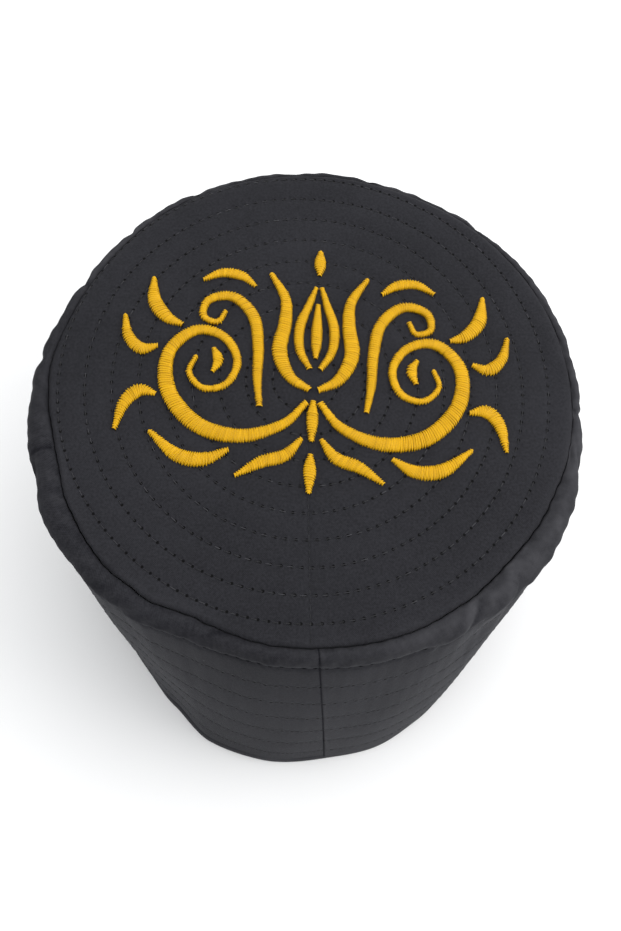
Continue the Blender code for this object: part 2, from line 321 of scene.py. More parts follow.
PAIRED_STROKES = {
    "tulip_petal": (
        Knot(0.024, -0.194, 0.30),
        Knot(0.126, -0.097, 0.67),
        Knot(0.185, 0.108, 0.89),
        Knot(0.165, 0.344, 0.78),
        Knot(0.171, 0.559, 0.59),
        Knot(0.253, 0.774, 0.22),
    ),
    "bud_petal": (
        Knot(0.028, -0.022, 0.26),
        Knot(0.082, 0.129, 0.48),
        Knot(0.088, 0.323, 0.56),
        Knot(0.047, 0.516, 0.41),
        Knot(0.015, 0.667, 0.19),
    ),
    "main_scroll": (
        Knot(0.036, -0.301, 0.30),
        Knot(0.147, -0.484, 0.56),
        Knot(0.353, -0.591, 0.85),
        Knot(0.574, -0.516, 1.00),
        Knot(0.728, -0.258, 0.93),
        Knot(0.743, 0.054, 0.78),
        Knot(0.618, 0.249, 0.63),
        Knot(0.471, 0.202, 0.52),
        Knot(0.394, 0.011, 0.44),
        Knot(0.438, -0.181, 0.39),
        Knot(0.553, -0.228, 0.33),
        Knot(0.632, -0.108, 0.28),
        Knot(0.604, 0.030, 0.20),
    ),
    "scroll_bud": (
        Knot(0.518, 0.099, 0.19),
        Knot(0.491, 0.009, 0.59),
        Knot(0.515, -0.090, 0.19),
    ),
    "inner_scroll": (
        Knot(0.268, -0.348, 0.26),
        Knot(0.288, -0.129, 0.48),
        Knot(0.294, 0.129, 0.63),
        Knot(0.329, 0.387, 0.67),
        Knot(0.441, 0.551, 0.59),
        Knot(0.565, 0.516, 0.48),
        Knot(0.588, 0.374, 0.37),
        Knot(0.512, 0.327, 0.30),
        Knot(0.475, 0.420, 0.20),
    ),
    "high_leaf": (
        Knot(0.691, 0.292, 0.22),
        Knot(0.774, 0.348, 0.74),
        Knot(0.844, 0.486, 0.81),
        Knot(0.862, 0.688, 0.19),
    ),
    "side_leaf": (
        Knot(0.806, 0.103, 0.22),
        Knot(0.888, 0.073, 0.74),
        Knot(0.959, 0.176, 0.59),
        Knot(0.988, 0.353, 0.17),
    ),
    "tail_leaf": (
        Knot(0.790, -0.292, 0.22),
        Knot(0.875, -0.271, 0.81),
        Knot(0.941, -0.378, 0.70),
        Knot(0.974, -0.581, 0.17),
    ),
    "low_leaf": (
        Knot(0.406, -0.704, 0.22),
        Knot(0.521, -0.787, 0.81),
        Knot(0.656, -0.760, 0.81),
        Knot(0.800, -0.589, 0.19),
    ),
    "foot_leaf": (
        Knot(0.050, -0.589, 0.22),
        Knot(0.126, -0.723, 0.70),
        Knot(0.241, -0.783, 0.70),
        Knot(0.362, -0.895, 0.17),
    ),
    "crown_leaf": (
        Knot(0.332, 0.654, 0.20),
        Knot(0.406, 0.740, 0.59),
        Knot(0.509, 0.761, 0.56),
        Knot(0.603, 0.692, 0.17),
    ),
}


def unit(degrees: Array) -> Array:
    """Horizontal unit vectors at the given angles, in a new last axis."""
    angle = np.radians(degrees)
    return np.stack([np.cos(angle), np.sin(angle), np.zeros_like(angle)], axis=-1)


def turn(degrees: Array) -> Array:
    """The same angle difference, between -180 and 180 degrees."""
    return (np.asarray(degrees) + 180.0) % 360.0 - 180.0


def bell(distance: Array, half_width: float) -> Array:
    """1 at no distance, falling on both sides as a bell curve, to 1/e at the half width."""
    return np.exp(-(distance / half_width) ** 2)


def lobe(degrees: Array, centre: float, power: int) -> Array:
    """1 at an angle, falling to 0 at the opposite one as a power of a raised cosine."""
    return (0.5 + 0.5 * np.cos(np.radians(degrees - centre))) ** power


def ease(value: Array, low: float, high: float) -> Array:
    """0 up to low, 1 from high on, and a smooth S between them."""
    share = np.clip((np.asarray(value) - low) / (high - low), 0.0, 1.0)
    return share * share * (3.0 - 2.0 * share)


def waves(places: Array, kind: Seed) -> Array:
    """Gentle unevenness of cloth: a mean of sine waves in random directions.

    Args:
        places: Points whose last axis has two or three coordinates.
        kind: Which unevenness: its seed gives the waves' directions and phases.

    Returns:
        One number for each point, about -1 to 1.
    """
    draw = np.random.default_rng(int(kind))
    total = np.zeros(places.shape[:-1])
    for length in WAVES[kind]:
        way = draw.normal(size=places.shape[-1])
        way *= 2.0 * np.pi / (length * np.linalg.norm(way))
        total += np.sin(places @ way + draw.uniform(0.0, 2.0 * np.pi))
    return total / np.sqrt(len(WAVES[kind]))


def spline(rows: Array, steps: Array) -> Array:
    """Points of a Catmull-Rom curve, which passes through each row.

    Args:
        rows: Points that the curve passes through, one to a row.
        steps: How many points each stretch between two rows gets.

    Returns:
        The curve's points, one to a row, the last row's own point included.
    """
    ends = np.vstack([2.0 * rows[0] - rows[1], rows, 2.0 * rows[-1] - rows[-2]])
    index = np.repeat(np.arange(len(steps)), steps)
    first = np.repeat(np.cumsum(steps) - steps, steps)
    t = ((np.arange(steps.sum()) - first) / steps[index])[:, None]
    before, start, end, after = (ends[index + offset] for offset in range(4))
    curve = (start + 0.5 * t * (end - before)
             + t ** 2 * (before - 2.5 * start + 2.0 * end - 0.5 * after)
             + t ** 3 * (1.5 * (start - end) + 0.5 * (after - before)))
    return np.vstack([curve, rows[-1]])


@dataclass(frozen=True)
class CapShape:
    """Sizes that the cap's pieces share, and the forms worked out from them."""

    opening_half_width: float = 0.0845
    opening_half_length: float = 0.097
    crown_radius: float = 0.090
    crown_height: float = 0.108
    crown_shift_right: float = 0.0014
    crown_shift_back: float = 0.0070
    crown_lean_front: float = 4.8
    crown_lean_right: float = 1.5
    crown_dome: float = 0.0030
    crown_cloth: float = 0.0025
    seam_depth: float = 0.0008
    ring_pitch: float = 0.00915
    ring_edge_margin: float = 0.0055
    ring_shift_right: float = -0.0030
    ring_shift_back: float = 0.0022
    wall_cloth: float = 0.0030
    roll_puff: float = 0.0090
    roll_height: float = 0.0090
    wall_belly: float = 0.0040
    dent_depth: float = 0.0020
    hem_height: float = 0.0030
    wall_seam_angle: float = 273.6
    clearance: float = 0.0003
    valley_depth: float = 0.0009
    thin_valley: float = 0.35
    valley_width: float = 0.0005
    roll_valley_width: float = 0.0006
    stitch_pitch: float = 0.0035
    seam_waver: float = 0.00016

    @property
    def outer_ring(self) -> float:
        """Radius of the outermost stitch ring."""
        return self.crown_radius - self.ring_edge_margin

    @property
    def ring_centre(self) -> Array:
        """Centre of the stitch rings in the crown's frame."""
        return np.array([self.ring_shift_right, self.ring_shift_back, 0.0])

    @property
    def ring_radii(self) -> Array:
        """Radii of the stitch rings, from the outermost inwards."""
        return np.arange(self.outer_ring, self.ring_pitch, -self.ring_pitch)

    @property
    def crown_matrix(self) -> Matrix:
        """Frame of the crown: its centre, with the seam's plane as its XY plane.

        Returns:
            The matrix from that frame to the cap's own.
        """
        centre = (self.crown_shift_right, self.crown_shift_back, self.crown_height)
        lean = np.radians([self.crown_lean_front, self.crown_lean_right, 0.0])
        return Matrix.Translation(centre) @ Euler(lean).to_matrix().to_4x4()

    def from_crown(self, points: Array) -> Array:
        """Points of the crown's frame in the cap's own frame."""
        matrix = np.array(self.crown_matrix)
        return points @ matrix[:3, :3].T + matrix[:3, 3]

    def turned(self, vectors: Array) -> Array:
        """Directions of the crown's frame in the cap's own frame."""
        return vectors @ np.array(self.crown_matrix)[:3, :3].T

    def arc(self, degrees: Array) -> Array:
        """Metres round the cap at the crown's radius."""
        return np.radians(degrees) * self.crown_radius

    def around(self, column: str, degrees: Array) -> Array:
        """One column of the outline at each angle, eased from row to row.

        Args:
            column: Name of the column.
            degrees: Angles from +X.

        Returns:
            The column at each angle.
        """
        starts = np.array([row.angle for row in OUTLINE] + [OUTLINE[0].angle + 360.0])
        values = np.array([getattr(row, column) for row in OUTLINE + OUTLINE[:1]])
        angle = np.asarray(degrees) % 360.0
        index = np.clip(np.searchsorted(starts, angle, side="right") - 1, 0, len(OUTLINE) - 1)
        share = (angle - starts[index]) / (starts[index + 1] - starts[index])
        return values[index] + (values[index + 1] - values[index]) * ease(share, 0.0, 1.0)

    def puff_at(self, degrees: Array) -> Array:
        """How far the roll stands out from the seam, less its puckers, each a bell curve.

        Args:
            degrees: Angles from +X.

        Returns:
            The distance at each angle.
        """
        puff = self.roll_puff * self.around("puff", degrees)
        for row in PUCKERS:
            puff = puff * (1.0 - row.depth * bell(turn(degrees - row.angle), row.half_width))
        return puff

    def valley_at(self, degrees: Array) -> Array:
        """Depth of the valley at the seam, shallower where the roll is thin."""
        thin = self.thin_valley
        return self.valley_depth * (thin + (1.0 - thin) * self.around("puff", degrees))

    def seam_points(self, degrees: Array, gap: float) -> Array:
        """Points of the seam in the crown's frame, a gap further out than the seam's line, which
        wavers a little from stitch to stitch.

        Args:
            degrees: Angles from +X.
            gap: How far outside the line they lie.

        Returns:
            A point for each angle.
        """
        way = unit(degrees)
        wavering = self.seam_waver * waves(self.crown_radius * way, Seed.SEAM)
        radius = self.crown_radius * self.around("crown", degrees) + gap + wavering
        return radius[..., None] * way

    def dome_height(self, points: Array) -> Array:
        """Height of the crown above its seam's plane: a paraboloid over its radius."""
        share = np.hypot(points[..., 0], points[..., 1]) / self.crown_radius
        return self.seam_depth + self.crown_dome * np.clip(1.0 - share ** 2, 0.0, None)

    def stitches_round(self, length: Union[float, Array]) -> Array:
        """How many whole stitches a closed line of that length gets."""
        return np.maximum(np.round(np.asarray(length) / self.stitch_pitch), 6.0)


@dataclass
class ClothGrid:
    """A closed surface on a grid of rows round the cap, with what its finish reads.

    Attributes:
        points: Places of the grid, as rows, columns and coordinates.
        layers: Texture coordinates by name, with one more column than the points have, where
            each line of columns ends.
        wear_and_painted_light: How far each point is rubbed pale or given painted light, from -1,
        painted shade in a fold, to 1, rubbed pale, and on the roll's crest a painted highlight.
        poles: Points that close the first and the last row. Without them the last row is
            joined to the first.
    """

    points: Array
    layers: dict[str, Array]
    wear_and_painted_light: Array
    poles: Array = field(default_factory=lambda: np.empty((0, 3)))

    def to_mesh(self, name: str) -> bpy.types.Mesh:
        """A smooth mesh of the grid: each cell is a quad, and each pole has a fan.

        Args:
            name: Its name.

        Returns:
            The mesh, with its layers and its rubbing and painted light.
        """
        rows, columns = self.points.shape[:2]
        spans = rows if len(self.poles) == 0 else rows - 1
        row, column = (part.ravel() for part in np.mgrid[0:spans, 0:columns])
        below, beside = (row + 1) % rows, column + 1
        corners = [(row, column), (below, column), (below, beside), (row, beside)]
        quads = np.stack([r * columns + c % columns for r, c in corners], axis=1)
        uvs = {key: np.stack([layer[r, c] for r, c in corners], axis=1).reshape(-1, 2)
               for key, layer in self.layers.items()}
        faces = [quads]
        points = self.points.reshape(-1, 3)
        wear_and_painted_light = self.wear_and_painted_light.ravel()
        if len(self.poles):
            ring = np.arange(columns)
            for number, (edge, way) in enumerate(((0, 1), (rows - 1, -1))):
                fan = [(edge, ring), (edge, ring + 1)][::way]
                tip = np.full(columns, len(points) + number)
                faces.append(np.stack([tip] + [r * columns + c % columns for r, c in fan], axis=1))
                for key, layer in self.layers.items():
                    middle = np.broadcast_to(layer[edge].mean(axis=0), (columns, 2))
                    fan_uv = np.stack([middle] + [layer[r, c] for r, c in fan], axis=1)
                    uvs[key] = np.vstack([uvs[key], fan_uv.reshape(-1, 2)])
            points = np.vstack([points, self.poles])
            wear_and_painted_light = np.append(wear_and_painted_light, [0.0, 0.0])
        mesh = mesh_of(name, points, faces)
        for key, corner_uvs in uvs.items():
            mesh.uv_layers.new(name=key).data.foreach_set("uv", corner_uvs.ravel())
        mesh.attributes.new("wear_and_painted_light", "FLOAT", "POINT").data.foreach_set("value", wear_and_painted_light)
        return mesh


@dataclass
class Strands:
    """Many closed tubes, such as threads, on rings of corners round their middle lines.

    Attributes:
        rings: Corners, as tubes, steps along a tube, corners round it and coordinates.
        tips: The points that close each tube's two ends, as tubes, 2 and coordinates.
        strand: What the thread's finish reads at each corner: length along the thread in
            millimetres, share of the way round it and the thread's own number.
        SIDES: Corners round a tube.
        APART: Millimetres that two threads with own numbers 0 and 1 are shifted along.
    """

    SIDES: ClassVar[int] = 6
    APART: ClassVar[float] = 37.0

    rings: Array
    tips: Array
    strand: Array

    @classmethod
    def along(cls, centres: Array, normals: Array, radii: Array, numbers: Array) -> "Strands":
        """Round tubes along middle lines.

        At each point of a line a ring of corners lies at the radius, in the plane of the
        surface's normal and of the normal crossed with the line's direction.

        Args:
            centres: Middle lines, as tubes, steps and coordinates.
            normals: The surface's normals at the same points.
            radii: Radius at the same points, as tubes and steps.
            numbers: Each tube's own number, from 0 to 1, higher on a paler one.

        Returns:
            The tubes.
        """
        step = np.gradient(centres, axis=1)
        way = step / np.linalg.norm(step, axis=-1, keepdims=True)
        aside = np.cross(way, normals)
        aside /= np.linalg.norm(aside, axis=-1, keepdims=True)
        above = np.cross(aside, way)
        round_it = 2.0 * np.pi * np.arange(cls.SIDES) / cls.SIDES - np.pi / 2.0
        cosine, sine = np.cos(round_it)[:, None], np.sin(round_it)[:, None]
        spokes = aside[:, :, None] * cosine + above[:, :, None] * sine
        rings = centres[:, :, None] + radii[:, :, None, None] * spokes
        tips = np.stack([centres[:, 0] - way[:, 0] * radii[:, 0, None],
                         centres[:, -1] + way[:, -1] * radii[:, -1, None]], axis=1)
        run = np.linalg.norm(step, axis=-1).cumsum(axis=1) / MM
        strand = np.empty(rings.shape)
        strand[..., 0] = (run + cls.APART * numbers[:, None])[:, :, None]
        strand[..., 1] = np.arange(cls.SIDES) / cls.SIDES
        strand[..., 2] = numbers[:, None, None]
        return cls(rings, tips, strand)

    def to_mesh(self, name: str, core: Union[Array, None] = None) -> bpy.types.Mesh:
        """A smooth mesh of the tubes: quads round each, and a fan at each end.

        Args:
            name: The mesh's name.
            core: Sections of a padding under the threads, as sections, corners and coordinates.

        Returns:
            The mesh.
        """
        points, faces = tube_faces(self.rings, self.tips)
        strand = np.vstack([self.strand.reshape(-1, 3), np.repeat(self.strand[:, 0, 0], 2, axis=0)])
        if core is not None:
            ends = core[[0, -1]].mean(axis=1)[None]
            more, core_faces = tube_faces(core[None], ends)
            faces += [face + len(points) for face in core_faces]
            points = np.vstack([points, more])
            strand = np.vstack([strand, np.zeros((len(more), 3))])
        mesh = mesh_of(name, points, faces)
        mesh.attributes.new("strand", "FLOAT_VECTOR", "POINT").data.foreach_set("vector", strand.ravel())
        return mesh


def tube_faces(rings: Array, tips: Array) -> tuple[Array, list[Array]]:
    """Points and faces of closed tubes: a quad for each cell, and a fan to the tip of each end.

    Args:
        rings: Corners, as tubes, steps, corners round a tube and coordinates.
        tips: The points that close each tube's two ends.

    Returns:
        The points, and the faces as arrays of point numbers.
    """
    tubes, steps, sides = rings.shape[:3]
    tube, step, side = (part.ravel() for part in np.mgrid[0:tubes, 0:steps - 1, 0:sides])
    near, far = (tube * steps + step) * sides, (tube * steps + step + 1) * sides
    beside = (side + 1) % sides
    quads = np.stack([near + side, far + side, far + beside, near + beside], axis=1)
    tube, side = (part.ravel() for part in np.mgrid[0:tubes, 0:sides])
    beside = (side + 1) % sides
    start, end = tube * steps * sides, ((tube + 1) * steps - 1) * sides
    tip = rings[..., 0].size + 2 * tube
    fans = [np.stack([tip, start + side, start + beside], axis=1),
            np.stack([tip + 1, end + beside, end + side], axis=1)]
    return np.vstack([rings.reshape(-1, 3), tips.reshape(-1, 3)]), [quads] + fans


def mesh_of(name: str, points: Array, faces: list[Array]) -> bpy.types.Mesh:
    """A smooth-shaded mesh of points and of faces, each array with equally many corners.

    Args:
        name: Its name.
        points: Points, one to a row.
        faces: Arrays of faces, as point numbers.

    Returns:
        The mesh.
    """
    mesh = bpy.data.meshes.new(name)
    corners = np.concatenate([face.ravel() for face in faces])
    sizes = np.concatenate([np.full(len(face), face.shape[1]) for face in faces])
    mesh.vertices.add(len(points))
    mesh.vertices.foreach_set("co", points.ravel())
    mesh.loops.add(len(corners))
    mesh.loops.foreach_set("vertex_index", corners)
    mesh.polygons.add(len(sizes))
    mesh.polygons.foreach_set("loop_start", np.cumsum(sizes) - sizes)
    mesh.update(calc_edges=True)
    mesh.shade_smooth()
    return mesh


def grid_normals(points: Array) -> Array:
    """Outward normals of a grid whose columns run round the cap: the slope down the rows crossed
    with the slope along the columns.

    Args:
        points: The grid, as rows, columns and coordinates.

    Returns:
        A unit vector at each point.
    """
    down = np.gradient(points, axis=0)
    along = (np.roll(points, -1, axis=1) - np.roll(points, 1, axis=1)) / 2.0
    normal = np.cross(down, along)
    return normal / np.maximum(np.linalg.norm(normal, axis=-1, keepdims=True), 1e-12)


def put(name: str, data: bpy.types.ID) -> bpy.types.Object:
    """A new object in the scene for a mesh, a light or a camera.

    Args:
        name: Its name.
        data: What the object shows.

    Returns:
        The object.
    """
    made = bpy.data.objects.new(name, data)
    bpy.context.scene.collection.objects.link(made)
    return made


def show(mesh: bpy.types.Mesh, finish: bpy.types.Material, slot: Slot, *nodes: str) -> bpy.types.Object:
    """An object for a finished mesh, which rides with the cap and stands for CAD nodes.

    Args:
        mesh: The mesh, named as the object will be.
        finish: Its material.
        slot: Its material slot in the record. Not used.
        nodes: CAD nodes that it stands for.

    Returns:
        The object.
    """
    mesh.materials.append(finish)
    piece = put(mesh.name, mesh)
    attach(piece, "root")
    if nodes:
        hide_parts(*nodes)
    mesh.calc_loop_triangles()
    LOG.info("%s: %d triangles", piece.name, len(mesh.loop_triangles))
    return piece


class Wiring:
    """Adds nodes to a tree and joins them."""

    def __init__(self, tree: bpy.types.NodeTree) -> None:
        """Work on this tree."""
        self.tree = tree

    def node(self, kind: str, inputs: dict[Union[str, int], Value], **settings: object) -> bpy.types.Node:
        """A node of this kind, with its settings and with its inputs joined or set.

        Args:
            kind: Blender's name of the node's type.
            inputs: A socket or a value for each input.
            settings: The node's own settings.

        Returns:
            The node.
        """
        made = self.tree.nodes.new(kind)
        for name, value in settings.items():
            setattr(made, name, value)
        for key, value in inputs.items():
            if isinstance(value, Socket):
                self.tree.links.new(value, made.inputs[key])
            else:
                made.inputs[key].default_value = value
        return made

    def math(self, operation: str, *values: Value) -> Socket:
        """The result of a sum on one, two or three values."""
        return self.node("ShaderNodeMath", dict(enumerate(values)), operation=operation).outputs[0]

    def weigh(self, first: Value, share: float, second: Value, other: float) -> Socket:
        """The sum of two values, each times its own share."""
        return self.math("ADD", self.math("MULTIPLY", first, share), self.math("MULTIPLY", second, other))

    def split(self, vector: Value) -> bpy.types.bpy_prop_collection:
        """The three numbers of a vector."""
        return self.node("ShaderNodeSeparateXYZ", {0: vector}).outputs

    def attribute(self, name: str, output: str) -> Socket:
        """What the mesh holds under this name."""
        return self.node("ShaderNodeAttribute", {}, attribute_name=name).outputs[output]

    def uv(self, name: str) -> Socket:
        """Texture coordinates of this name."""
        return self.node("ShaderNodeUVMap", {}, uv_map=name).outputs[0]

    def place(self) -> Socket:
        """The place in the object's own frame."""
        return self.node("ShaderNodeTexCoord", {}).outputs["Object"]

    def noise(self, vector: Value, scale: Value, detail: float, roughness: float = 0.5) -> Socket:
        """Noise between 0 and 1 at each place."""
        inputs = {"Vector": vector, "Scale": scale, "Detail": detail, "Roughness": roughness}
        return self.node("ShaderNodeTexNoise", inputs).outputs["Fac"]

    def fit(self, value: Value, span: tuple[float, float], to: tuple[float, float] = (0.0, 1.0)) -> Socket:
        """A value carried from one span to another, smoothly and held at the ends.

        Args:
            value: What is carried.
            span: Where it comes from.
            to: Where it goes.

        Returns:
            The carried value.
        """
        inputs = {"Value": value, "From Min": span[0], "From Max": span[1], "To Min": to[0], "To Max": to[1]}
        made = self.node("ShaderNodeMapRange", inputs, interpolation_type="SMOOTHSTEP")
        return made.outputs["Result"]

    def mix(self, share: Value, first: Value, second: Value) -> Socket:
        """Two colours mixed."""
        inputs = {0: share, 6: first, 7: second}
        return self.node("ShaderNodeMix", inputs, data_type="RGBA").outputs[2]

    def bump(self, height: Value, distance: float, strength: float, normal: Value = None) -> Socket:
        """A normal bent by a height.

        Args:
            height: The height.
            distance: Height in metres of a step from 0 to 1.
            strength: Share of the bend that is used.
            normal: The normal before this bump.

        Returns:
            The bent normal.
        """
        inputs = {"Height": height, "Distance": distance, "Strength": strength}
        if normal is not None:
            inputs["Normal"] = normal
        return self.node("ShaderNodeBump", inputs).outputs["Normal"]


class ShaderGroup:
    """A node group with named sockets, built once and placed in each finish that uses it."""

    def __init__(self, name: str, inputs: tuple[str, ...], outputs: tuple[str, ...]) -> None:
        """Make the group with its sockets, where only the one named Vector is a vector.

        Args:
            name: The group's name.
            inputs: Names of what it takes.
            outputs: Names of what it gives.
        """
        self.tree = bpy.data.node_groups.new(name, "ShaderNodeTree")
        for way, sockets in (("INPUT", inputs), ("OUTPUT", outputs)):
            for socket in sockets:
                kind = "NodeSocketVector" if socket == "Vector" else "NodeSocketFloat"
                self.tree.interface.new_socket(name=socket, in_out=way, socket_type=kind)
        self.wires = Wiring(self.tree)
        self.entry = self.tree.nodes.new("NodeGroupInput").outputs
        self.exit = self.tree.nodes.new("NodeGroupOutput").inputs

    def put_out(self, **values: Socket) -> "ShaderGroup":
        """Join the group's outputs.

        Args:
            values: A socket for each output.

        Returns:
            The group itself.
        """
        for name, value in values.items():
            self.tree.links.new(value, self.exit[name])
        return self

    def place(self, wires: Wiring, **inputs: Value) -> bpy.types.bpy_prop_collection:
        """Put the group into a finish and give its outputs."""
        return wires.node("ShaderNodeGroup", inputs, node_tree=self.tree).outputs


def weave_group() -> ShaderGroup:
    """Plain weave: warp and weft cross as two sine waves multiplied, and noise makes the threads
    uneven. Takes the place on the cloth in millimetres and the pitch of the threads.

    Returns:
        The group, which gives the height and the shade.
    """
    group = ShaderGroup("plain_weave", ("Vector", "Pitch"), ("Height", "Shade"))
    wires, entry = group.wires, group.entry
    shift = wires.math("MULTIPLY", wires.noise(entry["Vector"], scale=0.35, detail=2.0), 1.6)
    threads = []
    for way in wires.split(entry["Vector"])[:2]:
        counted = wires.math("DIVIDE", way, entry["Pitch"])
        threads.append(wires.math("SINE", wires.math("MULTIPLY_ADD", counted, np.pi, shift)))
    height = wires.math("MULTIPLY_ADD", wires.math("MULTIPLY", *threads), 0.5, 0.5)
    slub = wires.noise(entry["Vector"], scale=1.15, detail=3.0, roughness=0.7)
    shade = wires.weigh(height, 0.3, slub, 0.7)
    return group.put_out(Height=wires.math("MULTIPLY_ADD", slub, 0.6, height), Shade=shade)


def needle_group() -> ShaderGroup:
    """Needle holes, as a mask for the painted shade inside them and for their dent, and the pull of
    the stitches. Takes stitches counted along the line and millimetres across it, the stitch length
    and the hole's radius.

    Returns:
        The group, which gives the holes and the pull.
    """
    group = ShaderGroup("needle_holes", ("Vector", "Pitch", "Radius"), ("Hole", "Pull"))
    wires, entry = group.wires, group.entry
    counted, across = wires.split(entry["Vector"])[:2]
    from_hole = wires.math("SUBTRACT", wires.math("FRACT", wires.math("ADD", counted, 0.5)), 0.5)
    along = wires.math("ABSOLUTE", wires.math("MULTIPLY", from_hole, entry["Pitch"]))
    squares = [wires.math("POWER", side, 2.0) for side in (along, across)]
    apart = wires.math("SQRT", wires.math("ADD", *squares))
    hole = wires.fit(wires.math("DIVIDE", apart, entry["Radius"]), (0.50, 1.05), (1.0, 0.0))
    wave = wires.math("COSINE", wires.math("MULTIPLY", counted, 2.0 * np.pi))
    near = wires.fit(across, (0.2, 3.4), (1.0, 0.0))
    return group.put_out(Hole=hole, Pull=wires.math("MULTIPLY", wave, near))


def mottle_group() -> ShaderGroup:
    """Slow and fine changes of shade in dyed cloth or thread, from two noises.

    Returns:
        The group, which gives the shade.
    """
    group = ShaderGroup("mottle", ("Vector", "Scale"), ("Shade",))
    wires, entry = group.wires, group.entry
    slow = wires.noise(entry["Vector"], entry["Scale"], detail=3.0)
    quick = wires.noise(entry["Vector"], wires.math("MULTIPLY", entry["Scale"], 9.0), detail=4.0)
    return group.put_out(Shade=wires.weigh(slow, 0.65, quick, 0.35))


def lint_group() -> ShaderGroup:
    """Sparse pale specks of dust and lint: noise stretched by another noise, kept where it is
    highest. Takes the place in metres and the share of cloth that is clean.

    Returns:
        The group, which gives the specks.
    """
    group = ShaderGroup("lint", ("Vector", "Clean"), ("Speck",))
    wires, entry = group.wires, group.entry
    speck = wires.noise(entry["Vector"], scale=620.0, detail=2.0, roughness=0.6)
    patch = wires.noise(entry["Vector"], scale=38.0, detail=2.0)
    both = wires.math("MULTIPLY_ADD", patch, 0.35, speck)
    return group.put_out(Speck=wires.fit(wires.math("SUBTRACT", both, entry["Clean"]), (0.0, 0.06)))


def filament_group() -> ShaderGroup:
    """Filaments of a twisted thread: bands that wind round it, with painted shade low on its sides
    and a painted highlight on its crest. Takes millimetres along the thread, the share of the way
    round it and its own number, the length of a turn, and how strongly its own number, as painted
    glints, and its crest, as a painted highlight, make it paler.

    Returns:
        The group, which gives the height and the shade.
    """
    group = ShaderGroup("filaments", ("Vector", "Turn", "Own", "Crest"), ("Height", "Shade"))
    wires, entry = group.wires, group.entry
    along, round_it, number = wires.split(entry["Vector"])[:3]
    turns = wires.math("DIVIDE", along, entry["Turn"])
    wound = wires.math("ADD", turns, wires.math("MULTIPLY", round_it, 2.0))
    band = wires.math("SINE", wires.math("MULTIPLY", wound, 2.0 * np.pi))
    height = wires.math("MULTIPLY_ADD", band, 0.5, 0.5)
    own = wires.math("MULTIPLY", number, entry["Own"])
    facing = wires.math("COSINE", wires.math("MULTIPLY", round_it, 2.0 * np.pi))
    # Painted highlight on the thread's crest, and painted shade low on its sides.
    crest = wires.math("MULTIPLY", wires.math("MULTIPLY_ADD", facing, -0.5, 0.5), entry["Crest"])
    shade = wires.math("ADD", wires.math("MULTIPLY_ADD", height, 0.20, own), crest)
    return group.put_out(Height=height, Shade=shade)


class Effects:
    """The shared shader groups, each built once."""

    def __init__(self) -> None:
        """Build the groups."""
        self.weave = weave_group()
        self.needle = needle_group()
        self.mottle = mottle_group()
        self.lint = lint_group()
        self.filament = filament_group()


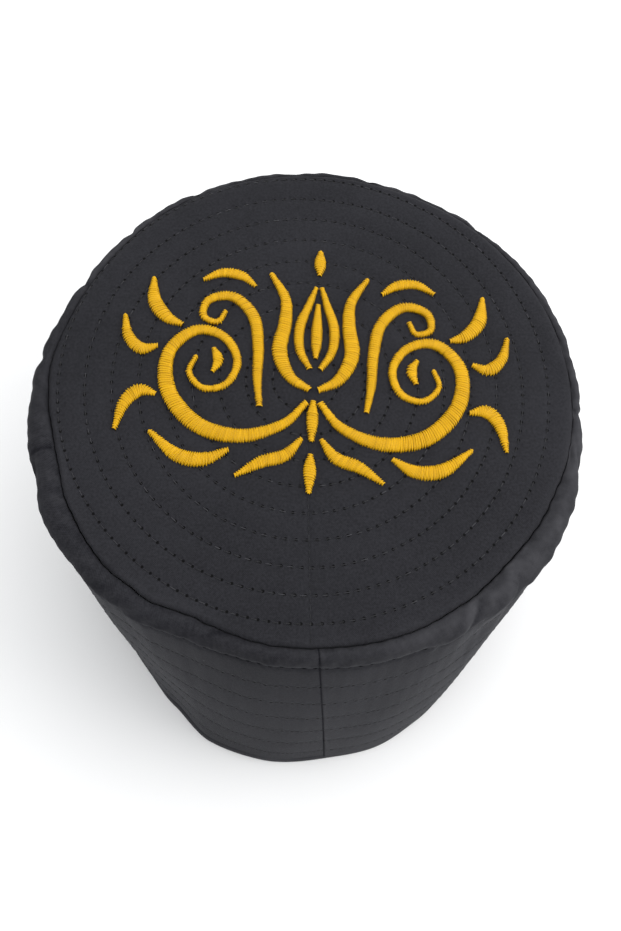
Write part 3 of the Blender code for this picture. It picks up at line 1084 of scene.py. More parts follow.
@dataclass(frozen=True)
class CottonFinish:
    """Matt black quilted cotton, with its weave, needle holes with painted shade in them, rubbing,
    painted light and shade on folds, and lint.

    Attributes:
        name: The material's name.
        deep: Colour of the darkest threads and of darker blotches, and the painted shade in each
        furrow, at the roll's lip, on the front of the roll and in the front seam.
        pale: Colour of the palest threads.
        worn_and_highlit: Colour where the cloth is rubbed, and of the painted highlight on the
        roll's crest.
        lint: Colour of specks of lint.
        hole: Painted shade in a needle hole: the dark colour that stands for its shadowed inside.
        thread_pitch: From one thread of the weave to the next, in millimetres.
        stitch_pitch: Length of a stitch in millimetres.
        hole_radius: Radius of a needle hole in millimetres.
        roughness: From the darkest threads to the palest.
        gloss: Specular level where painted shade or darker blotches darken the cloth, and of the rest.
        sheen: Weight of the fuzz's sheen.
        sheen_roughness: Its roughness.
        sheen_tint: Its colour.
    """

    name: str = "black_cotton"
    deep: tuple = (0.0080, 0.0080, 0.0100, 1.0)
    pale: tuple = (0.0246, 0.0246, 0.0292, 1.0)
    worn_and_highlit: tuple = (0.0490, 0.0485, 0.0540, 1.0)
    lint: tuple = (0.1600, 0.1600, 0.1700, 1.0)
    hole: tuple = (0.0006, 0.0006, 0.0008, 1.0)
    thread_pitch: float = 0.30
    stitch_pitch: float = 3.5
    hole_radius: float = 0.64
    roughness: tuple = (0.80, 0.96)
    gloss: tuple = (0.02, 0.16)
    sheen: float = 0.06
    sheen_roughness: float = 0.35
    sheen_tint: tuple = (0.80, 0.81, 0.86, 1.0)

    def build(self, effects: Effects) -> bpy.types.Material:
        """The material.

        Args:
            effects: The shared shader groups.

        Returns:
            The finished material.
        """
        material, wires, shader = plain_material(self.name)
        place = wires.place()
        wear_and_painted_light = wires.attribute("wear_and_painted_light", "Fac")
        weave = effects.weave.place(wires, Vector=wires.uv("cloth"), Pitch=self.thread_pitch)
        needle = effects.needle.place(wires, Vector=wires.uv("stitches"), Pitch=self.stitch_pitch,
                                      Radius=self.hole_radius)
        mottle = effects.mottle.place(wires, Vector=place, Scale=26.0)
        lint = effects.lint.place(wires, Vector=place, Clean=0.985)
        shade = wires.weigh(weave["Shade"], 0.72, mottle["Shade"], 0.28)
        cotton = wires.mix(wires.fit(shade, (0.34, 0.66)), self.deep, self.pale)
        # Below zero: darker blotches, and painted shade in folds, at the lip, on the roll's front and in the
        # seam.
        cotton = wires.mix(wires.fit(wear_and_painted_light, (-1.0, 0.0), (1.0, 0.0)), cotton, self.deep)
        patches = wires.fit(mottle["Shade"], (0.35, 0.65), (0.25, 1.0))
        # Above zero: rubbed ridges, seam edge and hem, and a painted highlight on the roll's crest.
        colour = wires.mix(wires.math("MULTIPLY", wear_and_painted_light, patches), cotton, self.worn_and_highlit)
        colour = wires.mix(lint["Speck"], colour, self.lint)
        # Painted shade in the needle holes, which the cloth has no real pits for.
        colour = wires.mix(needle["Hole"], colour, self.hole)
        normal = wires.bump(needle["Pull"], distance=0.00010, strength=0.7)
        normal = wires.bump(mottle["Shade"], distance=0.00060, strength=0.35, normal=normal)
        normal = wires.bump(weave["Height"], distance=0.00007, strength=0.55, normal=normal)
        filled = wires.math("SUBTRACT", 1.0, needle["Hole"])
        normal = wires.bump(filled, distance=0.00035, strength=0.9, normal=normal)
        joined = {"Base Color": colour, "Roughness": wires.fit(shade, (0.2, 0.8), self.roughness),
                  "Normal": normal, "Specular IOR Level": wires.fit(wear_and_painted_light, (-0.50, 0.05), self.gloss)}
        fixed = {"Sheen Weight": self.sheen, "Sheen Roughness": self.sheen_roughness,
                 "Sheen Tint": self.sheen_tint}
        finish_shader(material, shader, joined, fixed)
        return material


@dataclass(frozen=True)
class ThreadFinish:
    """Twisted thread: two shades, filaments wound round it with painted light, and its gloss.

    Attributes:
        name: The material's name.
        deep: Colour of its darkest parts, where the painted shade on its sides falls.
        pale: Colour of its palest parts, where painted highlights and glints fall.
        turn: Millimetres along the thread for a turn of its filaments.
        roughness: From the darkest parts to the palest.
        specular: Specular level.
        sheen: Weight of the fuzz's sheen.
        sheen_tint: Its colour.
        own: How much paler a thread's own number makes it: painted glints on a few threads, and
        on the gold a painted highlight on every other one.
        crest: How much paler its crest is than its sides: a painted highlight on top and painted
        shade low on the sides.
    """

    name: str
    deep: tuple
    pale: tuple
    turn: float
    roughness: tuple
    specular: float
    sheen: float
    sheen_tint: tuple
    own: float
    crest: float

    def build(self, effects: Effects) -> bpy.types.Material:
        """The material.

        Args:
            effects: The shared shader groups.

        Returns:
            The finished material.
        """
        material, wires, shader = plain_material(self.name)
        strand = wires.attribute("strand", "Vector")
        filament = effects.filament.place(wires, Vector=strand, Turn=self.turn, Own=self.own,
                                          Crest=self.crest)
        mottle = effects.mottle.place(wires, Vector=wires.place(), Scale=75.0)
        shade = wires.weigh(filament["Shade"], 0.75, mottle["Shade"], 0.25)
        joined = {"Base Color": wires.mix(wires.fit(shade, (0.15, 0.85)), self.deep, self.pale),
                  "Roughness": wires.fit(shade, (0.2, 0.8), self.roughness),
                  "Normal": wires.bump(filament["Height"], distance=0.00004, strength=0.6)}
        fixed = {"Specular IOR Level": self.specular, "Sheen Weight": self.sheen,
                 "Sheen Roughness": 0.4, "Sheen Tint": self.sheen_tint}
        finish_shader(material, shader, joined, fixed)
        return material


@dataclass(frozen=True)
class FloorFinish:
    """Pale, plain, matt floor with a trace of unevenness."""

    name: str = "pale_floor"
    deep: tuple = (0.89, 0.89, 0.89, 1.0)
    pale: tuple = (0.92, 0.92, 0.92, 1.0)

    def build(self, effects: Effects) -> bpy.types.Material:
        """The material.

        Args:
            effects: The shared shader groups.

        Returns:
            The finished material.
        """
        material, wires, shader = plain_material(self.name)
        shade = effects.mottle.place(wires, Vector=wires.place(), Scale=3.0)["Shade"]
        joined = {"Base Color": wires.mix(shade, self.deep, self.pale)}
        finish_shader(material, shader, joined, {"Roughness": 0.85, "Specular IOR Level": 0.2})
        return material


def plain_material(name: str) -> tuple[bpy.types.Material, Wiring, bpy.types.Node]:
    """A new material with its wiring and its Principled shader.

    Args:
        name: Its name.

    Returns:
        The material, its wiring and its shader.
    """
    material = bpy.data.materials.new(name)
    material.use_nodes = True
    return material, Wiring(material.node_tree), material.node_tree.nodes["Principled BSDF"]


def finish_shader(material: bpy.types.Material, shader: bpy.types.Node, joined: dict[str, Socket],
                  fixed: dict[str, Value]) -> None:
    """Join what changes over the surface, and set what is the same all over.

    Args:
        material: The material.
        shader: Its Principled shader.
        joined: Sockets to join, by input.
        fixed: Values to set, by input.
    """
    for name, socket in joined.items():
        material.node_tree.links.new(socket, shader.inputs[name])
    for name, value in fixed.items():
        shader.inputs[name].default_value = value


# The black thread's pale colour shows only on the few stitches with high numbers: painted glints.
BLACK_THREAD = ThreadFinish(
    name="black_thread", deep=(0.006, 0.006, 0.0075, 1.0), pale=(0.046, 0.046, 0.052, 1.0), turn=0.55,
    roughness=(0.50, 0.70), specular=0.30, sheen=0.05, sheen_tint=(0.9, 0.9, 0.95, 1.0), own=0.60,
    crest=0.10)
# The gold's deep colour is painted shade on its threads' sides; its crest of 0.50 a painted highlight.
GOLD_SATIN = ThreadFinish(
    name="gold_satin_thread", deep=(0.22, 0.088, 0.0001, 1.0), pale=(0.76, 0.432, 0.0006, 1.0),
    turn=0.90, roughness=(0.32, 0.44), specular=0.28, sheen=0.0, sheen_tint=(1.0, 0.85, 0.5, 1.0),
    own=0.30, crest=0.50)


@dataclass
class CrownTop:
    """The round quilted top: a shallow dome on nine stitch rings, folded down at its seam.

    Attributes:
        shape: The cap's sizes.
        columns: Columns of the grid round the crown.
        rows_a_ring: Rows of the grid from one stitch ring to the next.
        innermost: Radius of the innermost row.
        groove_depth: Depth of the groove that a ring of stitches pulls in.
        groove_width: How far the groove reaches to each side.
        groove_power: How flat the groove's bottom is.
        unevenness: Height of the cloth's slow waves.
        edge_fold: From the edge, where the cloth turns down and where it is level.
        edge_wear: How strongly the edge is rubbed pale.
        edge_width: Half width of that rubbed band.
        ring_shift: Stitches that each ring starts round from the ring outside it.
        steps: Rings of corners along a stitch's thread.
        cover: Share of a stitch's length that its thread covers.
        line_angle: Angle of the stitched line that runs from the middle to the front.
        line_depth: Depth of the line's groove, beside a ring's.
        line_width: Half width of that groove.
        line_pitch: Length of the line's stitches.
        line_inside: How far the line starts inside the innermost ring.
        line_outside: How far it runs past the crown's radius.
        line_cover: Share of the line's stitches that shows, and how thin their thread is.
    """

    shape: CapShape
    columns: int = 520
    rows_a_ring: int = 14
    innermost: float = 0.0006
    groove_depth: float = 0.00042
    groove_width: float = 0.0017
    groove_power: float = 1.4
    unevenness: float = 0.00013
    edge_fold: tuple = (-0.0010, 0.0014)
    edge_wear: float = 0.10
    edge_width: float = 0.0016
    ring_shift: float = 0.37
    steps: int = 8
    cover: float = 0.64
    line_angle: float = -86.05
    line_depth: float = 0.60
    line_width: float = 0.0007
    line_pitch: float = 0.0026
    line_inside: float = 0.006
    line_outside: float = 0.0035
    line_cover: float = 0.72

    def surface_height(self, points: Array) -> Array:
        """Height of the crown's outer cloth in its frame.

        The dome, less a bell-shaped groove at the nearest ring and at the line to the front,
        plus slow waves. Towards the edge it is carried down to the seam, ever steeper.

        Args:
            points: Points of the crown's frame.

        Returns:
            The height over each.
        """
        shape = self.shape
        reach = points - shape.ring_centre
        radius = np.hypot(reach[..., 0], reach[..., 1])
        from_ring = np.abs(radius[..., None] - shape.ring_radii).min(axis=-1)
        groove = self.groove_depth * np.exp(-(from_ring / self.groove_width) ** self.groove_power)
        line = unit(np.array(self.line_angle))
        off_line = np.abs(reach[..., 0] * line[1] - reach[..., 1] * line[0])
        ahead = reach[..., 0] * line[0] + reach[..., 1] * line[1]
        line_groove = self.line_depth * self.groove_depth * bell(off_line, self.line_width)
        groove += line_groove * ease(ahead, 0.0, 0.004)
        rise = self.unevenness * waves(points[..., :2], Seed.CROWN)
        degrees = np.degrees(np.arctan2(points[..., 1], points[..., 0]))
        outline = shape.crown_radius * shape.around("crown", degrees)
        edge = np.clip(outline - np.hypot(points[..., 0], points[..., 1]), 0.0, None)
        height = (shape.dome_height(points) - groove + rise) * ease(edge, *self.edge_fold)
        return height - shape.valley_at(degrees) * np.exp(-edge / shape.valley_width)

    def place(self, degrees: Array, radius: Array) -> tuple[Array, Array]:
        """Points on the cloth at angles and radii about the ring centre, and their normals.

        Args:
            degrees: Angles about the centre of the rings.
            radius: Radii about it.

        Returns:
            The points and their normals in the cap's own frame.
        """
        flat = self.shape.ring_centre + radius[..., None] * unit(degrees)
        step = 0.2 * MM
        offsets = ((0.0, 0.0, 0.0), (step, 0.0, 0.0), (0.0, step, 0.0))
        heights = [self.surface_height(flat + np.array(offset)) for offset in offsets]
        flat[..., 2] = heights[0]
        slopes = [(height - heights[0]) / step for height in heights[1:]]
        normal = np.stack([-slopes[0], -slopes[1], np.ones_like(slopes[0])], axis=-1)
        normal /= np.linalg.norm(normal, axis=-1, keepdims=True)
        return self.shape.from_crown(flat), self.shape.turned(normal)

    def ring_start(self, number: Union[int, Array]) -> Union[float, Array]:
        """Share of a stitch at which a ring starts."""
        return (self.ring_shift * number) % 1.0

    def grid(self) -> ClothGrid:
        """The crown's rows: out over the dome, down at the seam and back under it.

        Returns:
            The closed grid.
        """
        shape = self.shape
        centre = shape.ring_centre
        degrees = np.arange(self.columns + 1) * 360.0 / self.columns
        reach = shape.seam_points(degrees, -shape.clearance / 2.0) - centre
        length = np.linalg.norm(reach, axis=-1)
        radii = np.arange(shape.outer_ring, self.innermost, -shape.ring_pitch / self.rows_a_ring)[::-1]
        inner = np.broadcast_to(radii[:, None], (len(radii), len(degrees)))
        outer = shape.outer_ring + (length - shape.outer_ring) * EDGE_SHARES[:, None]
        radius = np.vstack([inner, outer])
        top = centre + reach * (radius / length)[..., None]
        top[..., 2] = self.surface_height(top)
        under = centre + reach * UNDER_SHARES[:, None, None]
        sag = (shape.dome_height(under) - shape.seam_depth) * ease(1.0 - UNDER_SHARES, 0.0, 0.3)[:, None]
        under[..., 2] = sag - shape.crown_cloth
        points = np.vstack([top, under])
        ends = (self.surface_height(centre), shape.crown_dome - shape.crown_cloth)
        poles = np.array([[*centre[:2], height] for height in ends])
        radius_all = np.vstack([radius, length * UNDER_SHARES[:, None]])
        rings = shape.ring_radii
        nearest = np.abs(radius_all[..., None] - rings).argmin(axis=-1)
        count = shape.stitches_round(2.0 * np.pi * rings)[nearest]
        along = degrees / 360.0 * count + self.ring_start(nearest)
        across = np.abs(radius_all - rings[nearest]) / MM
        across[len(top):] += FAR
        layers = {"cloth": points[..., :2] / MM, "stitches": np.stack([along, across], axis=-1)}
        wear_and_painted_light = self.edge_wear * bell((length - radius_all) - 0.7 * self.edge_width, self.edge_width)
        wear_and_painted_light[len(top):] = 0.0
        return ClothGrid(shape.from_crown(points[:, :-1]), layers, wear_and_painted_light[:, :-1], shape.from_crown(poles))

    def ring_threads(self) -> Strands:
        """The stitches of the rings, each from hole to hole.

        Returns:
            The threads.
        """
        draw = np.random.default_rng(int(Seed.RINGS))
        middles, radii, spans = [], [], []
        for number, ring in enumerate(self.shape.ring_radii):
            count = int(self.shape.stitches_round(2.0 * np.pi * ring))
            middles.append((np.arange(count) + 0.5 - self.ring_start(number)) / count * 360.0)
            radii.append(ring + draw.normal(0.0, 0.05 * MM, count))
            spans.append(np.full(count, 360.0 / count))
        degrees, radius, span = (np.concatenate(part) for part in (middles, radii, spans))
        share = np.linspace(-0.5, 0.5, self.steps)
        cover = self.cover * (1.0 + draw.normal(0.0, 0.08, len(degrees)))
        lines = degrees[:, None] + share * (cover * span)[:, None]
        skew = draw.normal(0.0, 0.06 * MM, len(degrees))
        points, normals = self.place(lines, radius[:, None] + share * skew[:, None])
        # Most ring stitches stay dark and a few are pale: painted glints.
        return sewn(points, normals, share, draw.uniform(size=len(points)) ** 4)

    def line_threads(self) -> Strands:
        """The stitches of the line from the middle to the front seam.

        Returns:
            The threads.
        """
        first = self.shape.ring_radii[-1] - self.line_inside
        count = int((self.shape.crown_radius + self.line_outside - first) / self.line_pitch)
        middle = first + (np.arange(count) + 0.5) * self.line_pitch
        share = np.linspace(-0.5, 0.5, self.steps)
        radius = middle[:, None] + share * self.line_pitch * self.line_cover
        points, normals = self.place(np.full(radius.shape, self.line_angle), radius)
        # Few stitches of the line are pale: painted glints.
        numbers = 0.7 * np.random.default_rng(int(Seed.LINE)).uniform(size=count) ** 4
        return sewn(points, normals, share, numbers, self.line_cover)

    def build(self, cotton: bpy.types.Material, thread: bpy.types.Material) -> None:
        """Make the crown's cloth and its stitches.

        Args:
            cotton: The cloth's finish.
            thread: The finish of the stitches.
        """
        cloth = show(self.grid().to_mesh("crown_cloth"), cotton, Slot.COTTON, "crown_top")
        rings = show(self.ring_threads().to_mesh("ring_stitches"), thread, Slot.COTTON)
        line = show(self.line_threads().to_mesh("front_line_stitches"), thread, Slot.COTTON)


def stitch_lift(share: Array) -> Array:
    """Height of a stitch's middle line over the cloth: an arch that dives into both holes."""
    return 0.13 * MM - 0.42 * MM * (2.0 * np.abs(share)) ** 5


def stitch_radius(share: Array) -> Array:
    """Radius of a stitch's thread, a little thinner at the holes."""
    return (0.17 - 0.05 * (2.0 * np.abs(share)) ** 3) * MM


def sewn(points: Array, normals: Array, share: Array, numbers: Array, thickness: float = 1.0,
         sunk: float = 0.0) -> Strands:
    """Stitches along lines on the cloth, each arched over it and down into both holes.

    Args:
        points: The lines, as stitches, steps and coordinates.
        normals: The cloth's normals there.
        share: Place of each step along its stitch, from -0.5 to 0.5.
        numbers: Each stitch's own number.
        thickness: Thickness of the thread, beside the crown's.
        sunk: How far the stitches sink into the cloth.

    Returns:
        The threads.
    """
    radii = np.broadcast_to(thickness * stitch_radius(share), points.shape[:2])
    return Strands.along(points + normals * (stitch_lift(share) - sunk)[:, None], normals, radii, numbers)


@dataclass
class SideWall:
    """The tall quilted wall: the soft roll at the seam, stitched rows, front seam and hem.

    Attributes:
        shape: The cap's sizes.
        columns: Even columns of the grid round the wall.
        seam_step: Degrees between the closer columns at the front seam.
        seam_side: Degrees that these reach past it to each side.
        seam_clear: Degrees round them that even columns stay out of.
        bands: Quilted bands between the roll and the rim.
        rows_a_band: Rows of the grid in a band.
        rows_a_point: Rows of the grid from one point of the roll's section to the next.
        hem_rise: Height that the hem's own rows take up, in hem heights.
        band_relief: How far a band swells between its two rows of stitches.
        swell_power: Below 1, how full the swell is.
        crease_height: Height of the largest fold line.
        crease_width: Half width of a fold line.
        wrinkle: Height of the small wrinkles at the roll.
        wrinkle_reach: How far down from the seam they fade out.
        slack: Height of the slow unevenness of the cloth.
        squeeze: Length of wrinkles and unevenness round the wall, beside that down it.
        seam_groove: Depth of the front seam.
        groove_width: Half width of the front seam.
        seam_lean: Degrees that the front seam goes round the wall on its way down.
        seam_lap: How far the upper edge of the front seam's lap stands proud.
        lap_width: How far round the wall the lap reaches.
        ridge: Height from which a fold is rubbed, as a share of the largest fold.
        ridge_wear: How strongly it is rubbed.
        furrow: Depth from which a furrow gets painted shade, as the same share.
        blotchy: How strong the random pale and dark blotches on the roll are.
        side_shade: How dark the painted shade on the front of the roll, a little to the left, is.
        side_shade_angle: Where its middle lies.
        side_shade_power: How narrow it is.
        band_reach: How far down the cloth the blotches and this painted shade of the roll reach.
        roll_length: Length of the cloth over the roll, from the seam to the roll's foot.
        foot_pull: How far the roll's foot is pulled in by its stitches.
        foot_width: Half height of that furrow.
        row_shift: Stitches that each row starts round from the row above it.
        steps: Rings of corners along a stitch's thread.
        cover: Share of a stitch's length that its thread covers.
        thickness: Thickness of the rows' thread, beside the crown's.
        sunk: How far a row's stitches sink into the padding.
    """

    shape: CapShape
    columns: int = 592
    seam_step: float = 0.12
    seam_side: float = 0.6
    seam_clear: float = 0.22
    bands: int = 7
    rows_a_band: int = 9
    rows_a_point: int = 5
    hem_rise: float = 1.6
    band_relief: float = 0.00008
    swell_power: float = 0.7
    crease_height: float = 0.00085
    crease_width: float = 0.0012
    wrinkle: float = 0.00022
    wrinkle_reach: float = 0.011
    slack: float = 0.00022
    squeeze: float = 0.35
    seam_groove: float = 0.0004
    groove_width: float = 0.00024
    seam_lean: float = 4.9
    seam_lap: float = 0.00012
    lap_width: float = 0.0045
    ridge: float = 0.35
    ridge_wear: float = 0.6
    furrow: float = 0.30
    blotchy: float = 0.14
    side_shade: float = 0.45
    side_shade_angle: float = 262.0
    side_shade_power: int = 6
    band_reach: float = 0.0110
    roll_length: float = 0.0125
    foot_pull: float = 0.00022
    foot_width: float = 0.0012
    row_shift: float = 0.43
    steps: int = 7
    cover: float = 0.68
    thickness: float = 0.82
    sunk: float = 0.00009

    @property
    def quilted(self) -> float:
        """Height of the quilted wall, below the roll."""
        return self.shape.crown_height - self.shape.roll_height

    @property
    def whole(self) -> float:
        """Length of the cloth from the crown's seam to the rim."""
        return self.roll_length + self.shape.crown_height - self.shape.roll_height

    def angles(self) -> Array:
        """Angles of the columns: even, with more at the front seam.

        Returns:
            The angles from +X, in rising order.
        """
        even = np.arange(self.columns) * 360.0 / self.columns
        side = self.seam_side
        near = self.shape.wall_seam_angle + np.arange(-side, self.seam_lean + side, self.seam_step)
        clear = np.abs(turn(even[:, None] - near)).min(axis=1) > self.seam_clear
        return np.sort(np.concatenate([even[clear], near]))

    def from_seam(self, degrees: Array, length: Array) -> Array:
        """How far round the wall from the leaning front seam each column lies, for each row."""
        seam = self.shape.wall_seam_angle + self.seam_lean * length[:, None] / self.whole
        return self.shape.arc(turn(degrees - seam))

    def at_seam(self, degrees: Array, out: Array, drop: Array) -> Array:
        """Points out from the seam along the crown's plane and down from it, for each row.

        Args:
            degrees: Angles of the columns, from +X.
            out: Distance out for each row and column.
            drop: Distance down, the same way.

        Returns:
            The points, as rows, columns and coordinates.
        """
        seam = self.shape.seam_points(degrees, self.shape.clearance / 2.0)
        local = seam + unit(degrees) * out[..., None]
        local[..., 2] = -drop
        return self.shape.from_crown(local)

    def down_wall(self, degrees: Array, share: Array) -> Array:
        """Points at shares of the way from the roll's foot to the rim.

        A straight line from foot to rim, swollen by a parabola and pushed in by the dents.

        Args:
            degrees: Angles of the columns, from +X.
            share: Share of the way for each row.

        Returns:
            The points, as rows, columns and coordinates.
        """
        shape = self.shape
        drop = np.full(len(degrees), shape.roll_height)
        foot = self.at_seam(degrees, ROLL[-1].out * shape.puff_at(degrees), drop)
        rim = self.rim(degrees)
        down = share[:, None]
        swell = shape.wall_belly * shape.around("belly", degrees) * 4.0 * down * (1.0 - down)
        for row in DENTS:
            across = bell(turn(degrees - row.angle), row.half_width)
            swell -= shape.dent_depth * row.depth * across * bell(down - row.down, row.half_down)
        points = foot + (rim - foot) * down[..., None] + unit(degrees) * swell[..., None]
        points[..., 2] = foot[:, 2] * (1.0 - down)
        return points

    def rim(self, degrees: Array) -> Array:
        """The outer edge of the rim, an oval."""
        half = np.array([self.shape.opening_half_width, self.shape.opening_half_length, 0.0])
        return unit(degrees) * self.shape.around("rim", degrees)[:, None] * half

    def outer_rows(self, degrees: Array) -> tuple[Array, Array, Array]:
        """Rows of the outer face, with how far along the cloth each lies and its stitch share.

        Args:
            degrees: Angles of the columns.

        Returns:
            The points, the length along the cloth from the seam for each row, and each row's
            place in the quilted bands, below zero on the roll.
        """
        shape = self.shape
        puff = shape.puff_at(degrees)
        section = spline(np.array(ROLL), np.full(len(ROLL) - 1, self.rows_a_point))[:-1]
        out = np.clip(section[:, :1], 0.0, None) * puff
        thin = np.minimum(puff / shape.roll_puff, 1.0)
        drop = np.maximum(section[:, 1:], 0.0) + np.minimum(section[:, 1:], 0.0) * thin
        drop = drop * shape.roll_height + shape.valley_at(degrees) * np.exp(-out / shape.roll_valley_width)
        roll = self.at_seam(degrees, out, drop)
        steps = self.bands * self.rows_a_band
        share = np.arange(steps) / steps
        share = share[share < 1.0 - self.hem_rise * shape.hem_height / shape.crown_height]
        on_roll = np.linspace(0.0, 1.0, len(roll), endpoint=False)
        length = np.concatenate([on_roll * self.roll_length, self.roll_length + share * self.quilted])
        points = np.vstack([roll, self.down_wall(degrees, share)])
        return points, length, np.concatenate([on_roll - 1.0, share])

    def hem_rows(self, degrees: Array) -> Array:
        """Rows of the folded hem, from the outer face round its foot to the inner face.

        Args:
            degrees: Angles of the columns, from +X.

        Returns:
            The points, as rows, columns and coordinates.
        """
        out, rise = (np.array([row.out for row in HEM]) * MM, np.array([row.rise for row in HEM]) * MM)
        up = np.array([0.0, 0.0, 1.0])
        return self.rim(degrees) + unit(degrees) * out[:, None, None] + up * rise[:, None, None]

    def inner_rows(self, degrees: Array) -> Array:
        """Rows of the inner face, from the hem up the wall and over the roll to the seam.

        Args:
            degrees: Angles of the columns, from +X.

        Returns:
            The points, as rows, columns and coordinates.
        """
        shape = self.shape
        flat_side = 0.7
        thick = shape.wall_cloth + flat_side * self.band_swell(INNER_SHARES)[:, None, None]
        inner = self.down_wall(degrees, INNER_SHARES) - unit(degrees) * thick
        puff = shape.puff_at(degrees)
        roll_in = (
            (np.maximum(ROLL[-1].out * puff - shape.wall_cloth, 0.0), shape.roll_height),
            (np.maximum(0.9 * (puff - shape.wall_cloth), 0.0), shape.wall_cloth + 0.1 * shape.roll_height),
            (np.zeros(len(degrees)), shape.wall_cloth),
        )
        back = np.stack([self.at_seam(degrees, out, np.full(len(degrees), drop)) for out, drop in roll_in])
        return np.vstack([inner, back])

    def band_swell(self, place: Array) -> Array:
        """How far a row stands out between two rows of stitches: a bent sine down each band."""
        down = np.clip(place, 0.0, 1.0)
        return self.band_relief * np.abs(np.sin(self.bands * np.pi * down)) ** self.swell_power

    def crease(self, row: Crease, degrees: Array, down: Array) -> Array:
        """Height of a fold line: a bell curve about a straight line in the unrolled cloth.

        Args:
            row: The fold line.
            degrees: Angles of the columns, from +X.
            down: How far along the cloth each row lies.

        Returns:
            The height of each point.
        """
        arc = self.shape.arc
        run = np.array([arc(turn(row.end_angle - row.angle)), (row.end_down - row.down) * self.whole])
        to_x = arc(turn(degrees - row.angle))
        to_y = down - row.down * self.whole
        share = np.clip((to_x * run[0] + to_y * run[1]) / (run @ run), 0.0, 1.0)
        apart = np.hypot(to_x - share * run[0], to_y - share * run[1])
        return self.crease_height * row.rise * bell(apart, self.crease_width)

    def relief(self, degrees: Array, length: Array, place: Array) -> Array:
        """How far the cloth stands out from its plain form at each row and angle.

        The bands' swell and the fold lines, with wrinkles that fade down the roll and slow
        unevenness. The front seam is a sharp furrow with one edge lapped over the other.

        Args:
            degrees: Angles of the columns.
            length: How far along the cloth each row lies.
            place: Each row's place in the quilted bands.

        Returns:
            The height of each point.
        """
        down = length[:, None]
        total = self.band_swell(place)[:, None] * np.ones(len(degrees))
        for row in CREASES:
            total += self.crease(row, degrees, down)
        squeezed = np.stack(np.broadcast_arrays(self.shape.arc(degrees), self.squeeze * down), axis=-1)
        on_right = 0.6 + 0.4 * lobe(degrees, 0.0, 1)
        fade = bell(down, self.wrinkle_reach)
        total += self.wrinkle * fade * waves(squeezed, Seed.WRINKLES) * on_right
        total += self.slack * waves(squeezed, Seed.SLACK)
        from_seam = self.from_seam(degrees, length)
        total -= self.seam_groove * np.exp(-np.abs(from_seam) / self.groove_width)
        total += self.seam_lap * ease(from_seam, -0.0002, 0.0004) * bell(from_seam, self.lap_width)
        return total - self.foot_pull * bell(down - self.roll_length, self.foot_width)

    def outer_wear_and_light(self, degrees: Array, length: Array, relief: Array) -> Array:
        """How the outer face is rubbed pale, and the light and shade painted on it.

        Rubbed pale on ridges and beside the front seam. The roll's crest is rubbed pale, with a
        painted highlight. Painted shade in each furrow, at the roll's lip, on the front of the roll
        a little to the left, and in the front seam.

        Args:
            degrees: Angles of the columns.
            length: How far along the cloth each row lies.
            relief: Height of each point.

        Returns:
            The rubbing and painted light of each point.
        """
        down = length[:, None]
        folds = relief / self.crease_height
        # Roll's crest rubbed pale, with a painted highlight to the right and at the back, where light grazes
        # it.
        wear_and_painted_light = CREST_RUB_AND_HIGHLIGHT.at(down) * highlit_side(degrees)
        ridges = np.clip(folds - self.ridge, 0.0, 1.0)
        # Painted shade in each furrow deeper than that share.
        furrow_shade = np.clip(-folds - self.furrow, 0.0, 1.0)
        wear_and_painted_light = wear_and_painted_light + self.ridge_wear * ridges - furrow_shade
        unrolled = np.stack(np.broadcast_arrays(self.shape.arc(degrees), down), axis=-1)
        blotches = self.blotchy * waves(unrolled, Seed.BLOTCHES)
        # Painted shade on the front of the roll, a little to the left, where it faces away from the light.
        side_shade = self.side_shade * lobe(degrees, self.side_shade_angle, self.side_shade_power)
        on_band = np.exp(-(down / self.band_reach) ** 4)
        # Painted shade along the roll's lip, where it turns under towards the wall.
        wear_and_painted_light += on_band * (blotches - side_shade) + LIP_SHADE.at(down)
        from_seam = self.from_seam(degrees, length)
        # Rubbed pale beside the front seam, and painted shade in its furrow.
        return wear_and_painted_light + SEAM_EDGE.at(from_seam) + SEAM_SHADE.at(from_seam)

    def layers(self, degrees: Array, points: Array, length: Array, place: Array) -> dict[str, Array]:
        """What the cotton reads at each row and column, with a last column where they end.

        Args:
            degrees: Angles of the columns.
            points: All the grid's points.
            length: How far along the cloth each row of the outer face lies.
            place: Its place in the quilted bands.

        Returns:
            "cloth", millimetres round and down the cloth, and "stitches", stitches counted
            along the nearest row of stitches and millimetres from it.
        """
        ends = np.append(degrees, degrees[0] + 360.0)
        step = np.linalg.norm(np.diff(points, axis=0), axis=-1).mean(axis=1)
        run = np.concatenate([[0.0], np.cumsum(step)]) / MM
        inner = len(place) + len(HEM)
        band = np.full(len(points), -1.0)
        band[:len(place)] = place
        band[inner:inner + len(INNER_SHARES)] = INNER_SHARES
        lines = np.arange(self.bands) / self.bands
        near = np.abs(band[:, None] - lines).argmin(axis=1)
        across = np.abs(band - lines[near]) * self.quilted / MM
        across[band < 0.0] = FAR
        on_roll = place < 0.0
        across[:len(place)][on_roll] = (self.roll_length - length[on_roll]) / MM
        along = ends / 360.0 * self.stitch_count() + self.row_shift * near[:, None]
        return {"cloth": np.stack(np.broadcast_arrays(self.shape.arc(ends) / MM, run[:, None]), axis=-1),
                "stitches": np.stack(np.broadcast_arrays(along, across[:, None]), axis=-1)}

